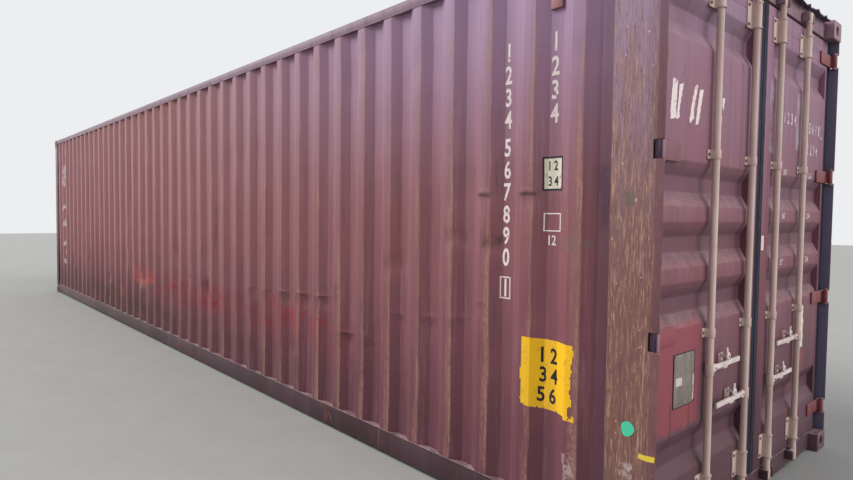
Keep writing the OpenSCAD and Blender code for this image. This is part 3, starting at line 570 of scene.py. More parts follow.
def outward(piece):
    """Merges doubles and turns every face of a closed shell outwards."""
    shell = bmesh.new()
    shell.from_mesh(piece.data)
    bmesh.ops.remove_doubles(shell, verts=shell.verts, dist=1e-5)
    bmesh.ops.recalc_face_normals(shell, faces=shell.faces)
    shell.to_mesh(piece.data)
    shell.free()
    return piece


def triangles(piece):
    piece.data.calc_loop_triangles()
    return len(piece.data.loop_triangles)


def rounded_line(sketch, path, radius):
    """The path as a curve whose corners are arcs."""
    line = sketch.add("GeometryNodeMeshToCurve", {"Mesh": path})
    kinds = {"Curve": line, "Count": 2, "Radius": radius, "Limit Radius": True}
    return sketch.add("GeometryNodeFilletCurve", kinds, mode="POLY")


def made_real(sketch, geometry, material):
    """The end of every tree, because the export drops instances."""
    geometry = sketch.add("GeometryNodeRealizeInstances", {"Geometry": geometry})
    return sketch.add("GeometryNodeSetMaterial", {"Geometry": geometry, "Material": material})


# %% The tree for folded sheets
folded, given = new_group(
    "folded_sheet", "GeometryNodeTree", Fold_line="Geometry", Height=1.0, Rows=20, Bend_radius=0.01, Crowding=0.0,
    Dent_depth=0.004, Dent_size=0.4, Seed=0.0, Material="Material")
line = rounded_line(folded, given["Fold line"], given["Bend radius"])
columns = folded.add("GeometryNodeAttributeDomainSize", {"Geometry": line}, component="CURVE")
rows = given["Rows"]
grid = folded.add("GeometryNodeMeshGrid", {"Size X": 1.0, "Size Y": 1.0, "Vertices X": columns, "Vertices Y": rows})
index = folded.add("GeometryNodeInputIndex")
column = ((index + 0.5) / rows).math("FLOOR")
share = (index - column * rows) / (rows - 1.0)
share = share + given["Crowding"] * share * (share - 1.0)
foot = folded.add("GeometryNodeSampleIndex", {0: line, 1: folded.add("GeometryNodeInputPosition"), 2: column},
                  data_type="FLOAT_VECTOR", domain="POINT")
rise = folded.add("ShaderNodeCombineXYZ", {2: share * given["Height"]})
sheet = folded.add("GeometryNodeSetPosition", {"Geometry": grid, "Position": folded.vector("ADD", foot, rise)})
dents = folded.add("ShaderNodeTexNoise", {
    "Vector": folded.add("GeometryNodeInputPosition"), "W": given["Seed"], "Scale": 1.0 / given["Dent size"],
    "Detail": 3.0, "Roughness": 0.5}, noise_dimensions="4D")
push = dents.step(0.5, 0.78) * given["Dent depth"] * (share.step(0.0, 0.06) * share.step(1.0, 0.94)) * -1.0
away = folded.vector("SCALE", folded.add("GeometryNodeInputNormal"), push)
sheet = folded.add("GeometryNodeSetPosition", {"Geometry": sheet, "Offset": away})
folded = folded.close(Sheet=made_real(folded, sheet, given["Material"]))
print("folded sheet tree", len(folded.nodes), "nodes")

# %% [markdown]
# Two more trees. A weld is a line of small ripples, so it is a path cut into short steps and swept with
# a ring whose size wanders a little. Bolts and rivets are one head set on many points. Both are grown
# once for each body and become plain meshes, because separate heads would be hundreds of objects.

# %% The tree for weld seams
seam, given = new_group("weld_seam", "GeometryNodeTree", Path="Geometry", Size=0.004, Step=0.009, Bend_radius=0.01,
                        Seed=0.0, Material="Material")
line = rounded_line(seam, given["Path"], given["Bend radius"])
line = seam.add("GeometryNodeResampleCurve", {"Curve": line, "Length": given["Step"]}, mode="LENGTH")
wander = seam.add("ShaderNodeTexNoise", {"Vector": seam.add("GeometryNodeInputPosition"), "W": given["Seed"],
                                         "Scale": 60.0, "Detail": 2.0}, noise_dimensions="4D")
ring = seam.add("GeometryNodeCurvePrimitiveCircle", {"Resolution": 6, "Radius": given["Size"]}, mode="RADIUS")
bead = seam.add("GeometryNodeCurveToMesh", {
    "Curve": line, "Profile Curve": ring, "Scale": wander.mapped(0.55, 1.25, 0.3, 0.7), "Fill Caps": True})
bead = seam.add("GeometryNodeSetShadeSmooth", {"Geometry": bead})
seam = seam.close(Seam=made_real(seam, bead, given["Material"]))
print("weld tree", len(seam.nodes), "nodes")

# %% The tree for bolt and rivet heads
heads, given = new_group("fastener_heads", "GeometryNodeTree", Points="Geometry", Radius=0.01, Height=0.006, Sides=6,
                         Dome=0.0, Facing=(0, 0, 1), Seed=0, Material="Material")
stem = heads.add("GeometryNodeMeshCylinder", {"Vertices": given["Sides"], "Side Segments": 3, "Fill Segments": 1,
                                              "Radius": given["Radius"], "Depth": given["Height"]})
px, py, pz = heads.axes(heads.add("GeometryNodeInputPosition"))
rise = pz + given["Height"] * 0.5
lift = rise / given["Height"]
narrow = 1.0 - lift * lift * lift * (given["Dome"] * 0.5 + 0.12)
shape = heads.add("ShaderNodeCombineXYZ", {0: px * narrow, 1: py * narrow, 2: rise})
stem = heads.add("GeometryNodeSetPosition", {"Geometry": stem, "Position": shape})
turn = heads.add("FunctionNodeRandomValue", {2: 0.0, 3: 6.28, 8: given["Seed"]}, 1, data_type="FLOAT")
spin = heads.add("FunctionNodeAxisAngleToRotation", {0: (0.0, 0.0, 1.0), 1: turn})
aim = heads.add("FunctionNodeAlignRotationToVector", {"Vector": given["Facing"]}, axis="Z")
aim = heads.add("FunctionNodeRotateRotation", {0: aim, 1: spin}, rotation_space="LOCAL")
stems = heads.add("GeometryNodeInstanceOnPoints", {"Points": given["Points"], "Instance": stem, "Rotation": aim})
heads = heads.close(Heads=made_real(heads, stems, given["Material"]))
print("head tree", len(heads.nodes), "nodes")

# %% [markdown]
# The other steel parts already have the right shape in the frame, but their edges are sharp as a knife.
# A copy is merged, its flat faces are joined, and a small bevel rounds the edges. The bevel's own faces
# carry an attribute called edge, so the paint can be worn away exactly there.

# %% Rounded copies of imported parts
body_of = {node: body for body, held in frame["record"]["behaviour"]["bodies"].items() for node in held}


def settle_on(piece, node, material, replaces=True):
    """Rides on the node's body, wears the given material, and stands in for it."""
    piece.data.materials.clear()
    piece.data.materials.append(material)
    if replaces:
        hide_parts(node)
    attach(piece, body_of[node])
    return piece


def rounded(node, material, width=0.003, steps=2, weigh=None):
    """A copy of a node with round edges. weigh gives an edge's share of the width, from 0 to 1."""
    bend = math.radians(40)
    shell = bmesh.new()
    shell.from_mesh(nodes[node].data)
    bmesh.ops.remove_doubles(shell, verts=shell.verts, dist=1e-5)
    bmesh.ops.dissolve_limit(shell, angle_limit=math.radians(1), verts=shell.verts, edges=shell.edges)
    bmesh.ops.recalc_face_normals(shell, faces=shell.faces)
    if weigh:
        weights = shell.edges.layers.float.new("bevel_weight_edge")
        for edge in shell.edges:
            if len(edge.link_faces) == 2 and edge.calc_face_angle() > bend:
                edge[weights] = weigh(edge)
    mesh = bpy.data.meshes.new(node + "_worn")
    shell.to_mesh(mesh)
    shell.free()
    mesh.materials.append(material)
    mesh.materials.append(None)
    piece = link(bpy.data.objects.new(mesh.name, mesh))
    bevel = piece.modifiers.new("round", "BEVEL")
    bevel.width, bevel.segments, bevel.material = width, steps, 1
    bevel.limit_method = "WEIGHT" if weigh else "ANGLE"
    bevel.angle_limit = bend
    settled(piece)
    worn = piece.data.attributes.new("edge", "FLOAT", "FACE")
    worn.data.foreach_set("value", [float(face.material_index) for face in piece.data.polygons])
    for face in piece.data.polygons:
        face.material_index = 0
    return settle_on(smooth(piece), node, material)


# %% [markdown]
# The left side wall. Its fold line repeats one wave 41 times between the front casting and the rear
# post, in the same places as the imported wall. The tree makes the sheet's outer face, and Solidify gives
# it the 2 mm of steel behind. The right wall is the same line mirrored, with fewer rows.

# %% Side walls
sheet_steel = 0.002
wall_in = wall_out - wave_depth
wave_count = 1 + int((wave_last - wave_outer - wave_slope - 0.005 - wall_front) / wave_pitch)
fold = [(wall_front, wall_in)]
for k in range(wave_count - 1, -1, -1):
    x = wave_last - wave_pitch * k
    fold += [(x - wave_outer - wave_slope, wall_in), (x - wave_outer, wall_out), (x, wall_out),
             (x + wave_slope, wall_in)]
fold.append((wall_back, wall_in))


def fold_line(name, points, height=0.0):
    """A base mesh for the trees: the points joined into one open line."""
    return mesh_of(name, [(x, y, height) for x, y in points], [(i, i + 1) for i in range(len(points) - 1)])


def face_towards(piece, direction):
    """Flips a sheet whose faces look away from a direction."""
    total = sum((face.normal * face.area for face in piece.data.polygons), Vector())
    if total.dot(Vector(direction)) < 0:
        piece.data.flip_normals()
    return piece


def sheet_on(piece, node, material, direction):
    """Turns a single sheet's faces outwards, puts its steel behind them and lets it stand for the node."""
    face_towards(piece, direction)
    solid = piece.modifiers.new("steel", "SOLIDIFY")
    solid.thickness, solid.offset = sheet_steel, -1
    return settle_on(smooth(settled(piece), 30), node, material)


def side_wall(node, side, material, **values):
    base = fold_line(node + "_fold", [(x, side * y) for x, y in fold], wall_foot)
    return face_towards(grown(node + "_folded", folded, base, height=wall_head - wall_foot, bend_radius=0.011,
                              dent_size=0.38, material=material, **values), (0, side, 0))


wall_left = side_wall("side_wall_left", -1, paint_wall_left, rows=92, crowding=0.55, dent_depth=0.006, seed=2.0)
print("left wall", len(wall_left.data.vertices), "points", [round(c, 3) for c in wall_left.bound_box[0]])

# %% [markdown]
# Years of knocks have pressed creases into the wall. The noise dents are everywhere, but the deep ones sit at given
# places, so they are a short list: where each lies, how long and tall it is, how deep it was pushed, and how far it
# leans. Notches are sharper: the edge of another box was pushed in there, so each has a raised lip on top and runs out
# below. Extra rows of points lie only where a notch needs them.

# %% Creases in the left wall
creases = [  # x, z, half length, half height, depth, lean
    (4.28, 1.25, 0.06, 0.050, 0.010, 0.30), (4.85, 1.45, 0.05, 0.040, 0.010, 0.00),
    (5.14, 1.42, 0.04, 0.050, 0.010, 0.10), (5.43, 1.10, 0.04, 0.060, 0.010, -0.20),
    (1.20, 0.80, 0.07, 0.060, 0.018, 0.10), (0.30, 1.10, 0.06, 0.090, 0.016, 0.00),
    (-0.90, 0.70, 0.08, 0.080, 0.022, 0.20), (-1.50, 0.95, 0.05, 0.120, 0.014, 0.00),
    (-2.40, 0.60, 0.08, 0.060, 0.020, 0.00), (-3.60, 0.85, 0.06, 0.100, 0.018, 0.10),
    (-4.70, 0.70, 0.07, 0.080, 0.020, 0.00), (3.00, 0.50, 0.05, 0.050, 0.014, 0.00),
    (3.64, 1.00, 0.010, 0.070, 0.014, 0.02), (5.10, 0.80, 0.05, 0.090, 0.008, 0.20),
    (4.52, 0.60, 0.04, 0.100, 0.008, 0.00)]
notches = [  # x, z, half length, depth
    (2.868, 0.915, 0.045, 0.020), (3.156, 0.930, 0.048, 0.022), (3.442, 0.940, 0.048, 0.018),
    (2.580, 0.905, 0.040, 0.012), (2.295, 0.895, 0.040, 0.010), (3.745, 0.712, 0.055, 0.016),
    (4.015, 0.738, 0.035, 0.014), (4.085, 0.705, 0.035, 0.014), (4.335, 0.925, 0.035, 0.008),
    (4.620, 0.940, 0.045, 0.010), (4.880, 0.978, 0.045, 0.008), (5.075, 1.093, 0.045, 0.008),
    (5.080, 1.684, 0.050, 0.009), (5.370, 1.684, 0.050, 0.009), (0.76, 0.88, 0.05, 0.010)]


def refined(piece):
    """Adds rows of points where a notch needs them, and nowhere else."""
    sheet = bmesh.new()
    sheet.from_mesh(piece.data)
    for x, z, long, _ in notches:
        for dz in (0.035, 0.020, 0.006, -0.012, -0.030, -0.065, -0.110):
            near = [f for f in sheet.faces if abs(f.calc_center_median().x - x) < long + 0.04 and
                    min(v.co.z for v in f.verts) < z + dz < max(v.co.z for v in f.verts)]
            around = {e for f in near for e in f.edges} | {v for f in near for v in f.verts} | set(near)
            bmesh.ops.bisect_plane(sheet, geom=list(around), plane_co=(x, 0, z + dz), plane_no=(0, 0, 1))
    sheet.to_mesh(piece.data)
    sheet.free()


def notch_depth(dx, dz):
    """A notch's share of its full depth; dx is a share of its half length, dz metres over its edge."""
    if not (dx < 1 and -0.16 < dz < 0.065):
        return 0.0
    fall = max(0.0, 1 - dz / 0.042) ** 0.6 if dz > 0 else (1 + dz / 0.16) ** 2
    lip = 0.40 * max(0.0, 1 - abs(dz - 0.050) / 0.015)
    return (1 - dx * dx) * (fall - lip)


def pressed(piece, side):
    """Pushes the creases into a wall that faces -Y or +Y, and a slow bow along the whole length."""
    for vertex in piece.data.vertices:
        x, _, z = vertex.co
        share = min(1.0, (z - wall_foot) / 0.25, (wall_head - z) / 0.25)
        depth = 0.003 * (1 + math.sin(1.7 * x + 0.8 * z)) * share
        for cx, cz, long, tall, deep, lean in creases:
            away = ((x - cx) / long) ** 2 + ((z - cz - lean * (x - cx)) / tall) ** 2
            if away < 4:
                depth += deep * (1 - away / 4) ** 2 * share
        depth += sum(deep * notch_depth(abs(x - cx) / long, z - cz + 0.030) for cx, cz, long, deep in notches)
        vertex.co.y -= side * depth


refined(wall_left)
pressed(wall_left, -1)
sheet_on(wall_left, "side_wall_left", paint_wall_left, (0, -1, 0))
wall_right = side_wall("side_wall_right", 1, paint_wall, rows=40, crowding=0.3, dent_depth=0.007, seed=5.0)
pressed(wall_right, 1)
sheet_on(wall_right, "side_wall_right", paint_wall, (0, 1, 0))
print("creases", len(creases), "triangles", triangles(wall_left), triangles(wall_right))

# %% [markdown]
# The front wall has deeper, steeper waves between its posts, and the same tree folds it. Here the fold
# line runs along Y and the depth along X, so the line's points are given in that order.

# %% Front wall
front_low, front_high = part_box("front_wall")
front_out, front_in = front_low.x, front_high.x - sheet_steel
front_flat, front_groove, front_ramp = 0.110, 0.104, 0.018
front_waves = 8
front_pitch = front_flat + front_groove + 2 * front_ramp
fold = [(front_in, front_low.y)]
for k in range(front_waves):
    y = front_pitch * (k - front_waves / 2) + front_groove / 2
    fold += [(front_in, y), (front_out, y + front_ramp), (front_out, y + front_ramp + front_flat),
             (front_in, y + 2 * front_ramp + front_flat)]
fold.append((front_in, front_high.y))
wall_front_end = grown("front_wall_folded", folded, fold_line("front_fold", fold, front_low.z), rows=60,
                       height=front_high.z - front_low.z, bend_radius=0.008, crowding=0.2, dent_depth=0.006,
                       dent_size=0.3, seed=9.0, material=paint_front)
sheet_on(wall_front_end, "front_wall", paint_front, (-1, 0, 0))
print("front wall", triangles(wall_front_end), "triangles")

# %% [markdown]
# The roof sheets have shallow troughs pressed across them, so rain runs to the sides and a person can
# walk on the roof. A trough is a rule too: depth depends on the distance from its middle line, and it
# fades out near the rails. The tree takes a flat grid and lowers its points by that rule.

# %% The tree for the roof
trough_count, trough_pitch, trough_depth = 57, 0.209, 0.020
trough_floor, trough_slope, trough_half = 0.091, 0.0135, 1.059
roof, given = new_group(
    "pressed_roof", "GeometryNodeTree", Flat_sheet="Geometry", Pitch=trough_pitch, Depth=trough_depth,
    Floor=trough_floor, Slope=trough_slope, Half_length=trough_half, Count=trough_count, Material="Material")
here = roof.add("GeometryNodeInputPosition")
x, y, _ = roof.axes(here)
off = ((x / given["Pitch"] + given["Count"] * 0.5).math("FRACT") - 0.5).size() * given["Pitch"]
half_floor = given["Floor"] * 0.5
along = y.size().step(given["Half length"], given["Half length"] - 0.03)
bowed = roof.noise(roof.vector("MULTIPLY", here, (1, 1, 0)), 1.6, 2)
drop = (off.step(half_floor + given["Slope"], half_floor) * along * given["Depth"]
        + bowed.step(0.45, 0.7) * 0.006 * along)
lower = roof.add("ShaderNodeCombineXYZ", {2: drop * -1.0})
roofing = roof.add("GeometryNodeSetPosition", {"Geometry": given["Flat sheet"], "Offset": lower})
roof = roof.close(Roof=made_real(roof, roofing, given["Material"]))
print("roof tree", len(roof.nodes), "nodes")

# %% [markdown]
# The grid under it has lines only where a trough bends, and stops short of the four corner castings.
# There, thick plates cover the sheet, as they do on the real roof, where cranes often miss the hole.

# %% Roof
roof_top = 2.892
casting_in_x, casting_in_y = 5.918, 1.057
half_floor = trough_floor / 2
bends = [s * (half_floor + d) for s in (-1, 1) for d in (0, trough_slope / 2, trough_slope)] + [0]
over_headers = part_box("header_plates")
lines_x = sorted({round(trough_pitch * (k - trough_count // 2) + d, 5) for k in range(trough_count) for d in bends}
                 | {over_headers[0].x, -casting_in_x, casting_in_x, over_headers[1].x})
roof_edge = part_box("roof")[1].y
lines_y = sorted([s * y for s in (-1, 1) for y in (roof_edge, casting_in_y, 1.059, 1.049, 1.039, 1.029,
                                                   0.9, 0.7, 0.45, 0.2)] + [0.0])
points = [(x, y, roof_top) for x in lines_x for y in lines_y]
rows = len(lines_y)
faces = [(i * rows + j, (i + 1) * rows + j, (i + 1) * rows + j + 1, i * rows + j + 1)
         for i in range(len(lines_x) - 1) for j in range(rows - 1)
         if abs(lines_x[i] + lines_x[i + 1]) / 2 < casting_in_x or abs(lines_y[j] + lines_y[j + 1]) / 2 < casting_in_y]
top_sheet = grown("roof_pressed", roof, mesh_of("roof_flat", points, (), faces), count=trough_count,
                  pitch=trough_pitch, depth=trough_depth, floor=trough_floor, slope=trough_slope,
                  half_length=trough_half, material=paint_roof)
face_towards(top_sheet, (0, 0, 1))
sheet_on(outward(top_sheet), "roof", paint_roof, (0, 0, 1))
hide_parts("header_plates")


def slabs(name, outlines, low, high, lay=lambda x, y, z: (x, y, z)):
    """Closed plates with the given outlines, between two heights, each point laid by lay."""
    points, faces = [], []
    for outline in outlines:
        first, count = len(points), len(outline)
        points += [lay(x, y, z) for z in (low, high) for x, y in outline]
        faces += [tuple(range(first, first + count)), tuple(range(first + count, first + 2 * count))]
        faces += [(first + i, first + (i + 1) % count, first + count + (i + 1) % count, first + count + i)
                  for i in range(count)]
    return outward(link(bpy.data.objects.new(name, mesh_of(name, points, (), faces))))


corner = [(0, 0), (0.300, 0), (0.300, 0.060), (0.060, 0.302), (0, 0.302)]
corner_plates = slabs("roof_corner_plates", [[(s * (casting_in_x - u), t * (1.213 - v)) for u, v in corner]
                                             for s in (-1, 1) for t in (-1, 1)], roof_top + 0.0002, 2.895)
settle_on(corner_plates, "roof", paint_roof, replaces=False)
print("roof", triangles(top_sheet), "triangles", [round(v, 3) for v in top_sheet.bound_box[6]])

# %% [markdown]
# The posts, lugs and hinges have lost most of their paint, and the lock gear was once pale. One function
# makes both kinds: a base coat, rust over it in streaks that run down, and stains. The rubber and the
# plate get their own, because they weather in another way: rubber greys, sheet metal stains.


# %% Rusted steel and lock gear
def streaky(name, coat, stain, rust_share, coat_pale, relief=0.002, layers=()):
    """Steel whose coat is half gone: long brown runs over what is left of the paint."""
    material, sketch = new_material(name)
    spots = sketch.group(rust, Amount=rust_share, Size=20.0)
    runs = sketch.grain((55, 55, 1.1), 1.0, 5, 0.72)
    blots = sketch.grain((9, 9, 2.2), 1.0, 5, 0.7, 0.4)
    flecks = sketch.grain((1, 1, 0.6), 120.0, 3, 0.75)
    colour = sketch.blend(blots.step(0.35, 0.65), coat, coat_pale)
    cover = (runs * 0.7 + blots * 0.4).step(0.72 - 0.4 * rust_share, 0.86 - 0.4 * rust_share)
    colour = marked(sketch, sketch.blend(cover * 0.85, colour, stain), layers)
    colour = sketch.blend(spots["Mask"], colour, spots["Colour"])
    colour = sketch.blend(flecks.step(0.66, 0.74) * 0.5, colour, coat_pale)
    edge = sketch.add("ShaderNodeAttribute", out=2, attribute_name="edge")
    colour = sketch.blend(edge * blots.step(0.4, 0.6) * 0.7, colour, spots["Colour"])
    grit = cover * 0.5 + (spots["Mask"] * 0.4 + flecks * 0.3)
    finish_shader(sketch, dusted_and_shaded(sketch, colour, 0.5), cover.mapped(0.55, 0.92), grit, 0.5, relief)
    return material


def scoured(name, layers=()):
    """The rear posts: paint rubbed through to brown rust, scored with thousands of short upright marks."""
    material, sketch = new_material(name)
    high = sketch.group(weather)["Height"].step(1.1, 3.0)
    short = sketch.grain((190, 190, 16), 1.0, 4, 0.7)
    tall = sketch.grain((75, 75, 3.2), 1.0, 7, 0.78)
    cloud = sketch.grain((12, 12, 2.4), 1.0, 6, 0.75)
    bare = (tall * 0.75 + cloud * 0.45 - high * 0.05).step(0.53, 0.64)
    colour = sketch.blend(high, (127, 89, 87), (160, 134, 157))
    for mask, over in (
            (bare * 0.85, sketch.blend(high, (131, 94, 81), (154, 121, 118))),
            (cloud.step(0.58, 0.66) * tall.step(0.52, 0.42) * 0.7, (104, 90, 92)),
            (short.step(0.52, 0.64) * (bare * 0.6 + 0.28), (190, 150, 128)),
            (short.step(0.45, 0.35) * 0.55, (88, 60, 62)),
            (sketch.noise(sketch.place, 260.0, 3, 0.7).step(0.55, 0.7) * 0.35, (92, 66, 62)),
            (sketch.grain((100, 100, 3.4), 1.0, 4, 0.65).step(0.61, 0.69) * 0.7, (194, 156, 128))):
        colour = sketch.blend(mask, colour, over)
    colour = marked(sketch, colour, layers)
    nicks = sketch.grain((46, 46, 26), 1.0, 2, 0.5).step(0.73, 0.76)
    colour = sketch.blend(nicks * 0.8, colour, (222, 200, 194))
    finish_shader(sketch, dusted_and_shaded(sketch, colour, 0.5), 0.85, short * 0.5 + tall * 0.6, 0.55, 0.002)
    return material


# %% Rubber and boards
def rubbery(name, dark, grey):
    """Old rubber: dull, a little blue, greyed and cracked across its length."""
    material, sketch = new_material(name)
    cracks = sketch.grain((30, 30, 220), 1.0, 3, 0.6)
    colour = sketch.blend(sketch.grain((12, 12, 3), 1.0, 4, 0.7).step(0.4, 0.7), dark, grey)
    colour = sketch.blend(cracks.step(0.6, 0.7) * 0.5, colour, (96, 92, 98))
    finish_shader(sketch, dusted_and_shaded(sketch, colour, 0.6), 0.7, cracks, 0.25)
    return material


def boarded(name, board_width=0.285, board_length=2.4):
    """Worn plywood boards along the floor, with grain, stains and dark gaps between boards."""
    material, sketch = new_material(name)
    rows = sketch.xyz[1] / board_width
    ends = (sketch.xyz[0] + rows.math("FLOOR") * 1.1) / board_length
    gaps = [(way.math("FRACT") - 0.5).size().step(edge, 0.5) for way, edge in ((rows, 0.49), (ends, 0.4988))]
    gap = gaps[0].larger(gaps[1])
    grain = sketch.grain((2.5, 55, 55), 1.0, 5, 0.65, 0.4)
    stains = sketch.noise(sketch.place, 1.8, 5, 0.7)
    wear = sketch.grain((1.5, 8, 8), 1.0, 3, 0.6)
    colour = sketch.blend(grain.step(0.3, 0.7), (92, 64, 44), (150, 112, 78))
    colour = sketch.blend(stains.step(0.5, 0.75) * 0.6, colour, (58, 46, 40))
    colour = sketch.blend(wear.step(0.5, 0.7) * 0.35, colour, (160, 140, 120))
    finish_shader(sketch, sketch.blend(gap, colour, (34, 26, 22)), 0.75, grain * 0.4 - gap, 0.5, 0.002)
    return material


# %% Steels
def strip(x, y, half_y, colour, half_x=0.2, soft=0.0004, amount=0.9):
    """A sharp-edged upright strip of colour over the full height."""
    return spot_layer((x, y, 1.45), (half_x, half_y, 1.6), colour, 0.0, soft, amount)


door_x = 6.04  # the outer face of the door leaves
primed, = spot_rows(0, door_x, (-0.92, 0.85, 0.215, 0.255, (146, 70, 80), 0.04, 0.02, 0.85))
# A dark navy that paints shade on the fins' inner faces, deep behind the door leaves.
shade_navy = (106, 102, 124)
steel_post = scoured("rear_post_steel", outer(spot_rows(
    1, side_y, (5.975, 0.465, 0.07, 0.05, (210, 196, 190), 0.12, 0.03, 0.7, 34.0),
    (5.93, 1.655, 0.03, 0.04, (104, 100, 96), 0.05, 0.02, 0.7)), 1, -1))
# The fins' inner faces get the navy as painted shade.
steel_fin = scoured("rear_fin_steel", [
    strip(6.098, side_y, 0.02, (118, 80, 86), 0.045, 0.004, 0.75), strip(6.0, 1.2066, 0.0012, shade_navy),
    strip(6.0, -1.2066, 0.0012, shade_navy), strip(6.0, 1.2135, 0.001, (116, 78, 72), amount=0.5)])
# The knuckles' outer side, deep in the notch, gets a grey-blue painted shade.
steel_hinge = streaky("right_hinge_steel", (124, 64, 70), (100, 58, 58), 0.16, (142, 86, 88),
                      layers=[strip(6.07, 1.226, 0.02, (110, 104, 120), 0.2, 0.003)])
steel_hinge_left = streaky(
    "left_hinge_steel", (126, 82, 91), (112, 72, 70), 0.16, (136, 94, 104),
    layers=[primed, strip(6.08, -1.168, 0.030, (196, 106, 114), 0.022, 0.010),
            # The knuckle seen through the notch: a dark painted shade, then a pale painted highlight beyond it.
            strip(6.066, -1.214, 0.02, (34, 34, 54), 0.013, 0.001),
            strip(6.088, -1.214, 0.02, (152, 116, 128), 0.009, 0.001)])
gear = streaky("lock_gear_steel", (202, 174, 164), (152, 116, 100), 0.2, (216, 192, 182),
               layers=[spot_layer((6.1, 0, 0.3), (0.4, 1.4, 1.3), (176, 146, 132), 0.1, 0.9, 0.75)])
handle_steel = streaky("handle_steel", (206, 188, 180), (150, 118, 104), 0.2, (230, 216, 210))
weld_steel = streaky("weld_steel", (118, 82, 84), (100, 70, 60), 0.4, (146, 116, 116), 0.001)
bolt_steel = streaky("bolt_steel", (96, 80, 78), (80, 58, 50), 0.4, (140, 124, 118), 0.0006)
rain_steel = streaky("rain_strip_steel", (70, 62, 80), (62, 50, 54), 0.3, (104, 98, 118))
plate_metal = streaky("plate_metal", (124, 112, 104), (96, 78, 66), 0.25, (146, 136, 128), 0.0005)
rubber = rubbery("door_rubber", (36, 35, 48), (54, 54, 72))
boards = boarded("floor_boards")
print("steels, rubber and boards", len(bpy.data.materials))


# %% Marking paints and foils
def marking(name, colour, under, gone, dirt=0.35):
    """Paint or foil laid over the maroon; noise wears it through to the coat below."""
    material, sketch = new_material(name)
    old = sketch.group(weather)
    wear = sketch.noise(sketch.place, 26.0, 5, 0.7)
    shade = sketch.blend(old["Streaks"] * dirt, colour, (134, 104, 98))
    shade = sketch.blend(old["Grime"] * dirt, shade, (120, 96, 92))
    shade = sketch.blend(wear.step(0.34 + 0.3 * gone, 0.28 + 0.3 * gone), shade, under)
    finish_shader(sketch, dusted_and_shaded(sketch, shade, 0.4), 0.6, wear, 0.15, 0.0005)
    return material


mark_white = marking("mark_white", (240, 222, 220), (150, 106, 114), 0.2)
mark_worn = marking("mark_worn", (226, 210, 212), (148, 104, 112), 0.45)
label_cream = marking("label_cream", (228, 220, 196), (176, 150, 140), 0.2)
label_pale = marking("label_pale", (206, 198, 196), (150, 136, 130), 0.2)
figures_dark = marking("figures_dark", (34, 32, 36), (70, 62, 58), 0.15, 0.15)
plate_print = marking("plate_print", (96, 86, 80), (120, 108, 100), 0.45, 0.2)
sticker_yellow = marking("sticker_yellow", (246, 190, 26), (206, 150, 60), 0.2, 0.25)
tape_yellow = marking("tape_yellow", (228, 198, 66), (190, 160, 80), 0.1, 0.2)
paint_green = marking("green_paint", (72, 206, 160), (90, 190, 150), 0.0, 0.1)
print("materials", len(bpy.data.materials))

# %% [markdown]
# Door panels. Each leaf has a steel sheet with five level recesses. The same folding tree makes it: the
# fold line climbs the leaf, and the sheet is swept across it, so the swept mesh is turned afterwards.
# Marks on the doors are patches at their places: a painted reflection of the sky and a painted sheen at the top, a
# primed square, rust under it, and painted shade in the recesses.


# %% Door paints
def recess_shade(sketch):
    """Painted shade in the recesses: everything behind the face of the leaf is darker, most of all low down."""
    behind = sketch.xyz[0].step(door_x - 0.006, door_x - 0.030)
    return behind * sketch.xyz[2].step(3.4, 1.2) * 0.62, (92, 62, 74)


# A painted reflection of the sky at the top of the left door, and a painted sheen below it.
door_sky_glare, sheen = spot_rows(
    0, door_x, (-0.66, 2.60, 0.50, 0.24, (148, 124, 146), 0.3, 0.12, 0.75, 1.3),
    (-0.72, 2.08, 0.30, 0.42, (154, 86, 94), 0.4, 0.2, 0.6, 2.0))
door_marks_and_glare = [door_sky_glare, sheen, primed] + spot_rows(
    0, door_x,
    (-0.88, 0.66, 0.12, 0.09, (146, 80, 74), 0.3, 0.06, 0.6, 5.0),
    (-0.985, 0.62, 0.012, 0.12, (96, 58, 46), 0.02, 0.01, 0.7),
    (-0.80, 0.66, 0.012, 0.08, (96, 58, 46), 0.02, 0.01, 0.7),
    (0.77, 0.60, 0.13, 0.16, (170, 76, 68), 0.25, 0.05, 0.7, 6.0),
    (0.62, 0.45, 0.34, 0.22, (138, 70, 62), 0.4, 0.14, 0.5, 3.0),
    (-0.3, 0.33, 1.1, 0.22, (96, 64, 70), 0.4, 0.16, 0.8),
    (0.175, 2.17, 0.032, 0.22, (186, 172, 184), 0.02, 0.01, 0.85, 2.0),
    (0.605, 2.18, 0.036, 0.18, (184, 170, 182), 0.02, 0.01, 0.85, 2.0))
leaf_marks = spot_rows(0, door_x, (0.150, 2.17, 0.036, 0.21, (186, 170, 182), 0.02, 0.008, 0.85, 2.0)) + [
    spot_layer((door_x, -1.133, 1.5), (0.01, 0.005, 1.4), (182, 150, 160), 0.01, 0.002, 0.6, 5.0), primed]
door_shades, door_grime, clean_below = ((86, 58, 66), (134, 84, 92), (152, 114, 134)), (84, 58, 62), (0.25, 1.1)
paint_door = painted("door_paint", door_shades, door_grime, 0.2, 0.3, 0.35, 0.55,
                     layers=[recess_shade] + outer(door_marks_and_glare, 0, 1), dust_rise=clean_below)
paint_leaf = painted("leaf_frame_paint", door_shades, door_grime, 0.26, 0.35, 0.4, 0.55, 0.8,
                     layers=outer(leaf_marks, 0, 1), dust_rise=clean_below)
print("door paints", paint_door.name, paint_leaf.name)

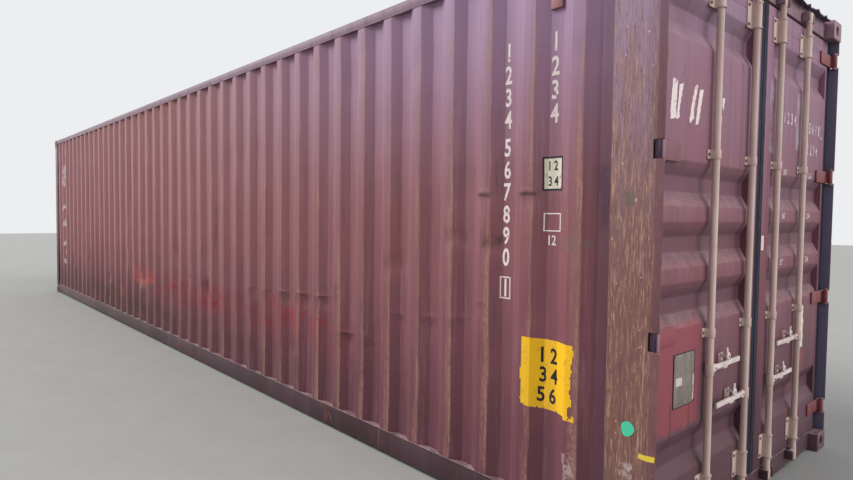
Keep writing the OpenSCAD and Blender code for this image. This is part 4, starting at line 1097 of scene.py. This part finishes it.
# %% Door panels
panel_low, panel_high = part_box("left_door_panel")
recess_middles = (0.478, 1.178, 1.457, 1.736, 2.485)
recess_depth, recess_ramp, recess_half = 0.036, 0.070, 0.035
climb = [(door_x, panel_low.z)]
for z in recess_middles:
    climb += [(door_x, z - recess_half - recess_ramp), (door_x - recess_depth, z - recess_half),
              (door_x - recess_depth, z + recess_half), (door_x, z + recess_half + recess_ramp)]
climb.append((door_x, panel_high.z))
panels = {}
for side, seed in (("left", 3.0), ("right", 7.0)):
    node = side + "_door_panel"
    low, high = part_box(node)
    panel = grown(node + "_folded", folded, fold_line(node + "_fold", climb), height=high.y - low.y, rows=56,
                  bend_radius=0.024, crowding=0.0, dent_depth=0.005, dent_size=0.3, seed=seed, material=paint_door)
    panel.data.transform(Matrix(((1, 0, 0, 0), (0, 0, 1, low.y), (0, 1, 0, 0), (0, 0, 0, 1))))
    panels[side] = sheet_on(panel, node, paint_door, (1, 0, 0))
    print(node, triangles(panel), "triangles", [round(c, 3) for c in panel.bound_box[0]])

# %% [markdown]
# Castings are thick, blunt blocks, so their outer edges get a wide round and their holes a small one.
# The rest of the frame is plate and folded section with a tight edge, so one table of widths does it.

# %% Which edges are rounded
half_long, half_wide, full_height = cad_box[1]
casting_ends = (0.118, 2.778)  # the top of the bottom castings and the foot of the top ones
near = 0.0005


def casting_weigh(edge):
    """Wide rounds on a casting's outer edges, small ones round its holes, none inside."""
    corners = [[abs(c) for c in vertex.co] for vertex in edge.verts]
    skins = [[x > half_long - near, y > half_wide - near, z < near or z > full_height - near] for x, y, z in corners]
    ends = [[x < casting_in_x + near, y < casting_in_y + near, min(abs(z - end) for end in casting_ends) < near]
            for x, y, z in corners]
    if all(sum(skin) + sum(end) >= 2 for skin, end in zip(skins, ends)):
        return 1.0
    return 0.3 if any(map(any, skins)) else 0.0


def but_not_between(edge):
    """The post's box and its fin are one plate on the real object, so the joint between them stays sharp."""
    return 0.0 if all(5.98 < vertex.co.x < 5.99 for vertex in edge.verts) else 1.0


# %% Frame parts
for names, material, *finish in (
        ("castings_top castings_bottom", paint_corner, 0.018, 4, casting_weigh),
        ("rear_post_left rear_post_right rear_gussets hinge_lugs", steel_post, 0.003, 2, but_not_between),
        ("rear_fins", steel_fin, 0.0015, 2, but_not_between),
        ("front_post_left front_post_right front_header front_sill door_header door_sill top_rail_left "
         "top_rail_right bottom_rail_left bottom_rail_right", paint_frame, 0.0025),
        ("cross_members tunnel_outriggers gooseneck_tunnel", paint_under, 0.0012),
        ("cam_keepers", paint_frame, 0.008, 3), ("ventilators", paint_wall, 0.004), ("floor", boards, 0.001),
        ("left_door_frame right_door_frame", paint_leaf, 0.003),
        ("left_door_hinges", steel_hinge_left, 0.0025), ("right_door_hinges", steel_hinge, 0.0025),
        ("left_door_brackets right_door_brackets lock_rod_1 lock_rod_2 lock_rod_3 lock_rod_4", gear, 0.002),
        ("left_handle_retainers right_handle_retainers", handle_steel, 0.0015),
        ("left_door_gasket right_door_gasket", rubber, 0.003),
        ("handle_1 handle_2 handle_3 handle_4", handle_steel, 0.002),
        ("catch_1 catch_2 catch_3 catch_4", handle_steel, 0.0012), ("data_plate", plate_metal, 0.0006)):
    for node in names.split():
        rounded(node, material, *finish)

# %% [markdown]
# Welds hold the frame together: the walls' feet on the bottom rails, their ends on the posts, and every
# rail and header on its corner casting. Each path lies on the joint that it closes, so the bead is half
# sunk in the steel, as a real one is.


# %% Welds
def seamed(name, paths, node, material, size, step):
    """One mesh of beads along several paths."""
    points, edges = [], []
    for path in paths:
        edges += [(len(points) + i, len(points) + i + 1) for i in range(len(path) - 1)]
        points += path
    piece = grown(name, seam, mesh_of(name + "_paths", points, edges), size=size, step=step, bend_radius=0.006,
                  seed=1.0, material=material)
    return triangles(settle_on(outward(piece), node, material, replaces=False))


def wave_path(side, z):
    """The wall's outer fold line at one height."""
    path = set()
    x = wave_last
    while x - wave_outer > wall_front:
        for dx, dy in ((0.0, 0.0), (-wave_outer, 0.0), (-wave_outer - wave_slope, -wave_depth),
                       (-wave_pitch + wave_slope, -wave_depth)):
            path.add((max(x + dx, wall_front), side * (wall_out + dy), z))
        x -= wave_pitch
    return [(wall_back, side * wall_in, z)] + sorted(path, key=lambda point: -point[0])


made = 0
rail_low, rail_high = 0.1635, 2.830
for side, word in ((-1, "left"), (1, "right")):
    made += seamed(f"wall_foot_weld_{word}", [wave_path(side, wall_foot)], f"side_wall_{word}", weld_steel,
                   0.0035, 0.012)
    y, end = side * 1.213, (wall_back + 0.001, side * 1.208)
    made += seamed(f"frame_weld_{word}", [[(*end, wall_foot), (*end, wall_head)]] + [
        [(casting_in_x, y, z), (-casting_in_x, y, z)] for z in (rail_low, rail_high)],
        f"top_rail_{word}", paint_frame, 0.003, 0.016)
    for way in (1, -1):
        for z in casting_ends:
            ring = [(way * 6.090, side * 1.06, z), (way * 6.090, y, z), (way * casting_in_x, y, z)]
            made += seamed(f"casting_weld_{word}_{way > 0}_{z > 1}", [ring], "castings_top", weld_steel, 0.0045, 0.009)
print("welds", made, "triangles")

# %% [markdown]
# Bolts, rivets and screws. The rods' brackets are bolted to the leaves, the floor is screwed down at
# every cross member, and the plate is riveted. A round head with a low dome serves for all of them.


# %% Bolts, rivets and floor screws
def fastened(name, points, node, material, radius, height, sides=6, dome=0.3, seed=1, facing=(1, 0, 0)):
    piece = grown(name, heads, mesh_of(name + "_points", points), radius=radius, height=height, sides=sides,
                  dome=dome, facing=facing, seed=seed, material=material)
    return triangles(smooth(settle_on(outward(piece), node, material, replaces=False), 40))


plate_face = 6.046  # the outer face of the plates that are bolted to the leaves
rods = ((1, -0.645, 1, 0.846), (2, -0.190, -1, 0.646), (3, 0.190, 1, 0.646), (4, 0.645, -1, 0.846))
made = 0
for word, pair in (("left", rods[:2]), ("right", rods[2:])):
    bolts = [(plate_face, y + dy, z + dz) for _, y, _, _ in pair for z in (0.260, 2.643)
             for dy in (-0.062, 0.062) for dz in (-0.050, 0.050)]
    guides = [(plate_face, y + dy, z) for _, y, _, _ in pair for z in (1.026, 1.885) for dy in (-0.036, 0.036)]
    holds = [(plate_face, y + w * 0.180 + dy, z - 0.012) for _, y, w, z in pair for dy in (-0.030, 0.030)]
    made += fastened(f"bracket_bolts_{word}", bolts, word + "_door_brackets", bolt_steel, 0.009, 0.006)
    made += fastened(f"guide_bolts_{word}", guides, word + "_door_brackets", bolt_steel, 0.008, 0.006, seed=3)
    made += fastened(f"retainer_rivets_{word}", holds, word + "_handle_retainers", bolt_steel, 0.006, 0.004, 10, 0.6)
for i, y, w, z in rods:
    for name, node, x, off, up, *head in (
            ("handle_washer", "handle", 6.0705, 0.045, 0, handle_steel, 0.022, 0.008, 20, 0.5),
            ("handle_pin", "handle", 6.0780, 0.045, 0, bolt_steel, 0.006, 0.004, 12, 0.6),
            ("catch_rivet", "catch", 6.0815, 0.180, 0.040, handle_steel, 0.022, 0.007, 18, 0.4),
            ("catch_hole", "catch", 6.0882, 0.180, 0.040, bolt_steel, 0.007, 0.001, 12, 0.1)):
        made += fastened(f"{name}_{i}", [(x, y + w * off, z + up)], f"{node}_{i}", *head)
screws = [(5.60 - 0.405 * k, side * (0.07 + 0.142 * j), 0.1715) for k in range(28) for j in range(8)
          for side in (-1, 1)]
made += fastened("floor_screws", screws, "floor", bolt_steel, 0.007, 0.0012, 8, 0.2, facing=(0, 0, 1))
rivets = [(6.0418, y, z) for y in (-0.955, -0.862, -0.769) for z in (0.716, 0.946)]
made += fastened("plate_rivets", rivets, "data_plate", bolt_steel, 0.004, 0.0022, 10, 0.7)
print("fasteners", made, "triangles")

# %% [markdown]
# Small worn parts that a clean drawing leaves out: the rain strip over the doors, bent and torn along
# its edge; the lips of the door rubbers; the plate's rim with the pale label on it. Each is a thin solid.


# %% Rain strip and rubber lips
def wander(*place):
    return noise.noise(Vector(place))


def gutter(steps=220):
    """A thin strip over the doors whose front edge is torn and bent, from a grid that noise pushes about."""
    points = []
    for i in range(steps + 1):
        y = -1.04 + 2.08 * i / steps
        fine = wander(y * 46, 5.0, 0.0)
        lump = sum(math.exp(-((y - c) / 0.022) ** 2) for c in (0.44, 0.60, 0.76, 0.93))
        reach = 0.030 + 0.016 * (0.5 + 0.5 * wander(y * 9, 2.0, 0.0)) + 0.007 * fine
        drop = 0.010 + 0.016 * wander(y * 4.5, 9.0, 0.0) + 0.004 * fine
        edge_x, drop = door_x + min(reach + 0.010 * lump, 0.048), max(drop - 0.012 * lump, 0.0)
        points += [(6.030, y, 2.8945), (edge_x, y, 2.8945 - drop), (edge_x, y, 2.8885 - drop), (6.030, y, 2.8885)]
    faces = [(4 * i + k, 4 * i + (k + 1) % 4, 4 * i + (k + 1) % 4 + 4, 4 * i + k + 4)
             for i in range(steps) for k in range(4)]
    faces += [(0, 1, 2, 3), tuple(4 * steps + k for k in range(4))]
    return outward(link(bpy.data.objects.new("rain_strip", mesh_of("rain_strip", points, (), faces))))


settle_on(smooth(gutter(), 40), "door_header", rain_steel, replaces=False)
lip = [(6.0300, 0.046), (6.0385, 0.045), (6.0400, 0.040), (6.0375, 0.036), (6.0345, 0.031), (6.0375, 0.025),
       (6.0400, 0.021), (6.0400, 0.013), (6.0380, 0.007), (6.0340, 0.0045), (6.0300, 0.0045)]
for side, word in ((-1, "left"), (1, "right")):
    lips = slabs(f"rubber_lips_{word}", [[(x, side * y) for x, y in lip]], 0.137, 2.766)
    settle_on(smooth(lips, 50), f"{word}_door_gasket", rubber, replaces=False)
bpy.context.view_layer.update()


# %% Plate details
def square(u0, v0, u1, v1):
    return [(u0, v0), (u1, v0), (u1, v1), (u0, v1)]


def frame_bars(u0, u1, v0, v1, wide):
    return [square(u0, v0, u1, v0 + wide), square(u0, v1 - wide, u1, v1),
            square(u0, v0 + wide, u0 + wide, v1 - wide), square(u1 - wide, v0 + wide, u1, v1 - wide)]


def on_plate(name, outlines, low, high, material):
    """Thin solids on the data plate, whose face looks along X."""
    piece = slabs(name, outlines, low, high, lambda y, z, depth: (6.042 + depth, y, z))
    return settle_on(piece, "data_plate", material, replaces=False)


on_plate("plate_rim", frame_bars(-0.968, -0.756, 0.705, 0.957, 0.004), -0.0015, 0.0012, rubber)
lines = []
random.seed(4)
for k in range(19):
    z = 0.935 - 0.012 * k
    y = -0.785 if 0.80 < z < 0.85 else -0.955
    while y < -0.785:
        length = random.uniform(0.012, 0.045)
        lines.append(square(y, z, min(y + length, -0.772), z + 0.003))
        y += length + random.uniform(0.006, 0.014)
on_plate("plate_lines", lines, -0.0002, 0.0003, plate_print)
on_plate("plate_label", [
    [(-0.946, 0.808), (-0.884, 0.806), (-0.882, 0.842), (-0.944, 0.845)],
    [(-0.777, 0.716), (-0.762, 0.722), (-0.760, 0.838), (-0.770, 0.842), (-0.773, 0.80), (-0.768, 0.76)]],
    -0.0002, 0.0005, label_pale)
print("plate lines", len(lines))

# %% [markdown]
# Painted marks and stickers. Each mark is cut into small pieces and laid on the pressed steel by looking
# straight at it: every point goes to the place where a ray meets the skin, and stops half a millimetre
# short. Only plain figures are used, since what the marks say belongs to an owner and not to the object.


# %% Figures and sheets
def figure(text, u, v, size, narrow):
    """Points and faces of a plain figure, with its middle and height given on the sheet."""
    curve = bpy.data.curves.new("figure", "FONT")
    curve.body, curve.offset, curve.resolution_u = text, 0.022, 5
    letter = link(bpy.data.objects.new("figure", curve))
    mesh = bpy.data.meshes.new_from_object(letter.evaluated_get(bpy.context.evaluated_depsgraph_get()))
    bpy.data.objects.remove(letter)
    xs, ys = [v.co.x for v in mesh.vertices], [v.co.y for v in mesh.vertices]
    tall = size / (max(ys) - min(ys))
    points = [(u + (x - (max(xs) + min(xs)) / 2) * tall * narrow, v + (y - (max(ys) + min(ys)) / 2) * tall)
              for x, y in zip(xs, ys)]
    return points, [tuple(p.vertices) for p in mesh.polygons]


def stacked(text, u, tops, size=0.094, narrow=0.74):
    return [figure(c, u, top - size / 2, size, narrow) for c, top in zip(text, tops)]


def in_row(text, u, step, v, size, narrow):
    return [figure(c, u + step * k, v, size, narrow) for k, c in enumerate(text)]


def bars(*outlines):
    return [(list(outline), [tuple(range(len(outline)))]) for outline in outlines]


def cell_sheet(u0, u1, v0, v1, cell, keep=lambda across, up: True):
    """A sheet of square cells; keep says which of them are still there."""
    cells = [(u0 + i * cell, v0 + j * cell) for i in range(round((u1 - u0) / cell))
             for j in range(round((v1 - v0) / cell))]
    return bars(*[square(u, v, u + cell, v + cell) for u, v in cells
                  if keep((u + cell / 2 - u0) / (u1 - u0), (v + cell / 2 - v0) / (v1 - v0))])


# %% Laying marks on the steel
post_side = [bpy.data.objects["rear_post_left_worn"], bpy.data.objects["rear_fins_worn"]]
left_look = (lambda u, v: (u, -1.26, v)), Vector((0, 1, 0))
door_look = (lambda u, v: (6.12, u, v)), Vector((-1, 0, 0))
skins = {  # what a node's marks lie on, where a ray to it starts, and which way it goes
    "side_wall_left": ([wall_left], *left_look), "rear_post_left": (post_side, *left_look),
    "rear_fins": (post_side, *left_look), "left_door_panel": ([panels["left"]], *door_look),
    "right_door_panel": ([panels["right"]], *door_look),
    "right_door_frame": ([bpy.data.objects["right_door_frame_worn"]], *door_look),
    "side_wall_right": ([wall_right], lambda u, v: (-u, 1.26, v), Vector((0, -1, 0))),
    "front_wall": ([wall_front_end], lambda u, v: (-6.12, -u, v), Vector((1, 0, 0)))}


def laid(name, node, material, shapes, lift=0.0006, cell=0.02):
    """Cuts the shapes into cells and lays them on the node's skin, as far off it as lift says."""
    sheet = bmesh.new()
    for points, faces in shapes:
        verts = [sheet.verts.new((u, v, 0)) for u, v in points]
        for face in faces:
            sheet.faces.new([verts[k] for k in face])
    bmesh.ops.remove_doubles(sheet, verts=sheet.verts, dist=1e-6)
    for across in (Vector((1, 0, 0)), Vector((0, 1, 0))):
        reach = [vert.co.dot(across) for vert in sheet.verts]
        place = math.floor(min(reach) / cell) * cell + cell
        while place < max(reach):
            bmesh.ops.bisect_plane(sheet, geom=sheet.verts[:] + sheet.edges[:] + sheet.faces[:],
                                   plane_co=across * place, plane_no=across)
            place += cell
    parts, start, aim = skins[node]
    corners, faces = [], []
    for part in parts:
        faces += [[len(corners) + k for k in face.vertices] for face in part.data.polygons]
        corners += [vert.co for vert in part.data.vertices]
    tree = BVHTree.FromPolygons(corners, faces)
    missed = 0
    for vert in sheet.verts:
        eye = Vector(start(vert.co.x, vert.co.y))
        hit = tree.ray_cast(eye, aim)[0]
        missed += hit is None
        vert.co = (hit or eye + aim * 0.12) - aim * lift
    mesh = bpy.data.meshes.new(name)
    sheet.to_mesh(mesh)
    sheet.free()
    piece = face_towards(link(bpy.data.objects.new(name, mesh)), -aim)
    settle_on(piece, node, material, replaces=False)
    print(name, len(mesh.polygons), "faces, missed", missed)


# %% Marks on the walls
id_tops = (2.476, 2.359, 2.243, 2.129, 1.983, 1.868, 1.751, 1.634, 1.521, 1.408, 1.246)
size_tops = (2.476, 2.359, 2.244, 2.129)
for word, u, v in (("left", 5.216, 5.511), ("right", -5.511, -5.223)):
    wall = f"side_wall_{word}"
    figures = stacked("12345678901", u, id_tops) + bars(*frame_bars(u - 0.034, u + 0.034, 1.140, 1.258, 0.007))
    figures += stacked("1234", v, size_tops) + [figure("12", v - 0.002, 1.462, 0.050, 0.8)]
    figures += bars(*frame_bars(v - 0.050, v + 0.046, 1.505, 1.596, 0.006))
    laid(f"wall_figures_{word}", wall, mark_white, figures)
    laid(f"wall_plate_{word}", wall, label_cream, cell_sheet(v - 0.055, v + 0.055, 1.709, 1.869, 0.010))
    laid(f"wall_plate_rim_{word}", wall, rubber, bars(*frame_bars(v - 0.058, v + 0.058, 1.706, 1.872, 0.009)), 0.0012)
    laid(f"wall_plate_figures_{word}", wall, figures_dark,
         [figure("1 2", v, 1.828, 0.048, 0.75), figure("3 4", v, 1.752, 0.048, 0.75)], 0.0012)


def torn(across, up):
    """The sticker's right edge and foot are torn off."""
    ragged = wander(across * 7, up * 7, 3.1) * 0.16 + wander(across * 21, up * 21, 1.0) * 0.07
    right = 0.95 + ragged * (0.5 if up > 0.25 else 0.9)
    foot = 0.03 + 0.14 * ragged + (0.05 if across < 0.8 else 0.0)
    return 0.015 + 0.12 * ragged < across < right and up > foot


laid("wall_sticker", "side_wall_left", sticker_yellow, cell_sheet(5.352, 5.678, 0.588, 0.968, 0.0073, torn))
laid("wall_sticker_figures", "side_wall_left", figures_dark, [
    figure(text, u, v, 0.078, 0.8) for text, u, v in (("1 2", 5.51, 0.890), ("3 4", 5.51, 0.790), ("5 6", 5.50, 0.690))
], 0.0012)
laid("far_end_figures", "side_wall_left", mark_worn,
     [figure(c, -5.36, v, 0.42, 1.05) for c, v in (("8", 2.21), ("2", 1.49), ("3", 0.80))])
blob = [(5.958 + 0.031 * (1 + 0.12 * math.sin(3 * a + 1)) * math.cos(a),
         0.654 + 0.034 * (1 + 0.10 * math.sin(2 * a)) * math.sin(a)) for a in [k * math.tau / 24 for k in range(24)]]
laid("green_blob", "rear_post_left", paint_green, bars(blob), 0.0012, 0.01)
tape = [(6.012, 0.556), (6.016, 0.564), (6.040, 0.562), (6.087, 0.567), (6.086, 0.543), (6.050, 0.538), (6.010, 0.541)]
laid("yellow_tape", "rear_fins", tape_yellow, bars(tape), 0.001, 0.01)


# %% Marks on the doors
def torn_edge(outline, seed):
    """The outline with many small steps in its edges, as paint tears off."""
    points = []
    for (u, v), (u2, v2) in zip(outline, outline[1:] + outline[:1]):
        count = max(2, int(math.hypot(u2 - u, v2 - v) / 0.009))
        for k in range(count):
            at = Vector((u + (u2 - u) * k / count, v + (v2 - v) * k / count, seed))
            points.append((at.x + 0.006 * wander(*at * 90), at.y + 0.008 * wander(*at * 90 + Vector((7, 7, 7)))))
    return points


strokes = [
    [(-1.050, 2.190), (-1.003, 2.186), (-1.016, 2.06), (-1.010, 2.02), (-1.066, 2.010), (-1.070, 2.05)],
    [(-0.985, 2.170), (-0.945, 2.186), (-0.982, 2.06), (-0.975, 2.03), (-1.008, 2.010), (-1.004, 2.06)],
    [(-0.838, 2.180), (-0.806, 2.196), (-0.838, 2.08), (-0.836, 2.04), (-0.868, 2.012), (-0.882, 2.020),
     (-0.872, 2.06)],
    [(-0.786, 2.176), (-0.746, 2.182), (-0.770, 2.10), (-0.790, 2.02), (-0.822, 2.010), (-0.806, 2.09)],
    [(-0.534, 2.168), (-0.500, 2.178), (-0.520, 2.105), (-0.530, 2.13)],
    [(-0.552, 2.080), (-0.530, 2.080), (-0.538, 2.03), (-0.556, 2.035)],
    [(-0.560, 1.995), (-0.536, 1.99), (-0.545, 1.955), (-0.562, 1.96)]]
laid("door_strokes", "left_door_panel", mark_white, bars(*[torn_edge(k, 3.0 * i) for i, k in enumerate(strokes)]))
digits = in_row("1234", 0.36, 0.062, 2.185, 0.070, 0.62) + in_row("5678", 0.83, 0.062, 2.165, 0.070, 0.62)
digits += bars(*frame_bars(1.048, 1.090, 2.120, 2.208, 0.005)) + in_row("1234", 0.80, 0.062, 2.03, 0.070, 0.62)
digits += [figure(text, u, v, 0.036, 0.8) for text, u in (("1234", 0.86), ("567", 0.40)) for v in (1.86, 1.60, 1.32)]
laid("door_figures", "right_door_panel", mark_worn, digits)
laid("door_sticker", "right_door_panel", label_cream,
     cell_sheet(0.690, 0.850, 0.746, 1.016, 0.0075, lambda a, b: a < 0.95 - 0.1 * wander(a * 9, b * 9, 0)))
laid("gap_label", "right_door_frame", mark_white, cell_sheet(0.044, 0.088, 1.402, 1.488, 0.0075))
laid("front_figures", "front_wall", mark_worn, in_row("1234567", -0.25, 0.075, 2.40, 0.094, 0.7))

# %% [markdown]
# A plain pale floor and soft light. The sky is even, so the light comes from everywhere, with a wide soft
# sun from the left and front that makes the waves read: slopes that face it are lighter, others darker.

# %% Floor, sky and sun
ground = link(bpy.data.objects.new("ground", mesh_of("ground", [(x, y, 0) for x, y in square(-40, -40, 40, 40)],
                                                     (), [(0, 1, 2, 3)])))
ground_material, sketch = new_material("pale_ground")
finish_shader(sketch, sketch.blend(sketch.noise(sketch.place, 3.0, 4, 0.6), (150, 150, 145), (162, 161, 156)), 0.9)
ground.data.materials.append(ground_material)

world = bpy.data.worlds.new("sky")
world.use_nodes = True
scene.world = world
sky = Sketch(world.node_tree)
backdrop = world.node_tree.nodes["Background"].inputs
rays = sky.add("ShaderNodeLightPath", out=None)
direct = rays["Is Camera Ray"].larger(rays["Is Glossy Ray"]).larger(rays["Is Transmission Ray"])
glow = sky.axes(sky.add("ShaderNodeTexCoord"))[2].mapped(0.58, 0.92)
sky.join(sky.blend(direct, (214, 218, 228), (236, 238, 240)), backdrop["Color"])
sky.join(glow * (1.0 - direct) + direct, backdrop["Strength"])

for name, strength, angle, aim in (("sun", 3.0, 35, (0.72, 0.46, -0.62)), ("fill", 1.7, 50, (-0.88, -0.30, -0.45))):
    lamp = link(bpy.data.objects.new(name, bpy.data.lights.new(name, "SUN")))
    lamp.data.energy, lamp.data.angle = strength, math.radians(angle)
    lamp.rotation_euler = Vector(aim).to_track_quat("-Z", "Y").to_euler()
scene.view_settings.view_transform = "Standard"
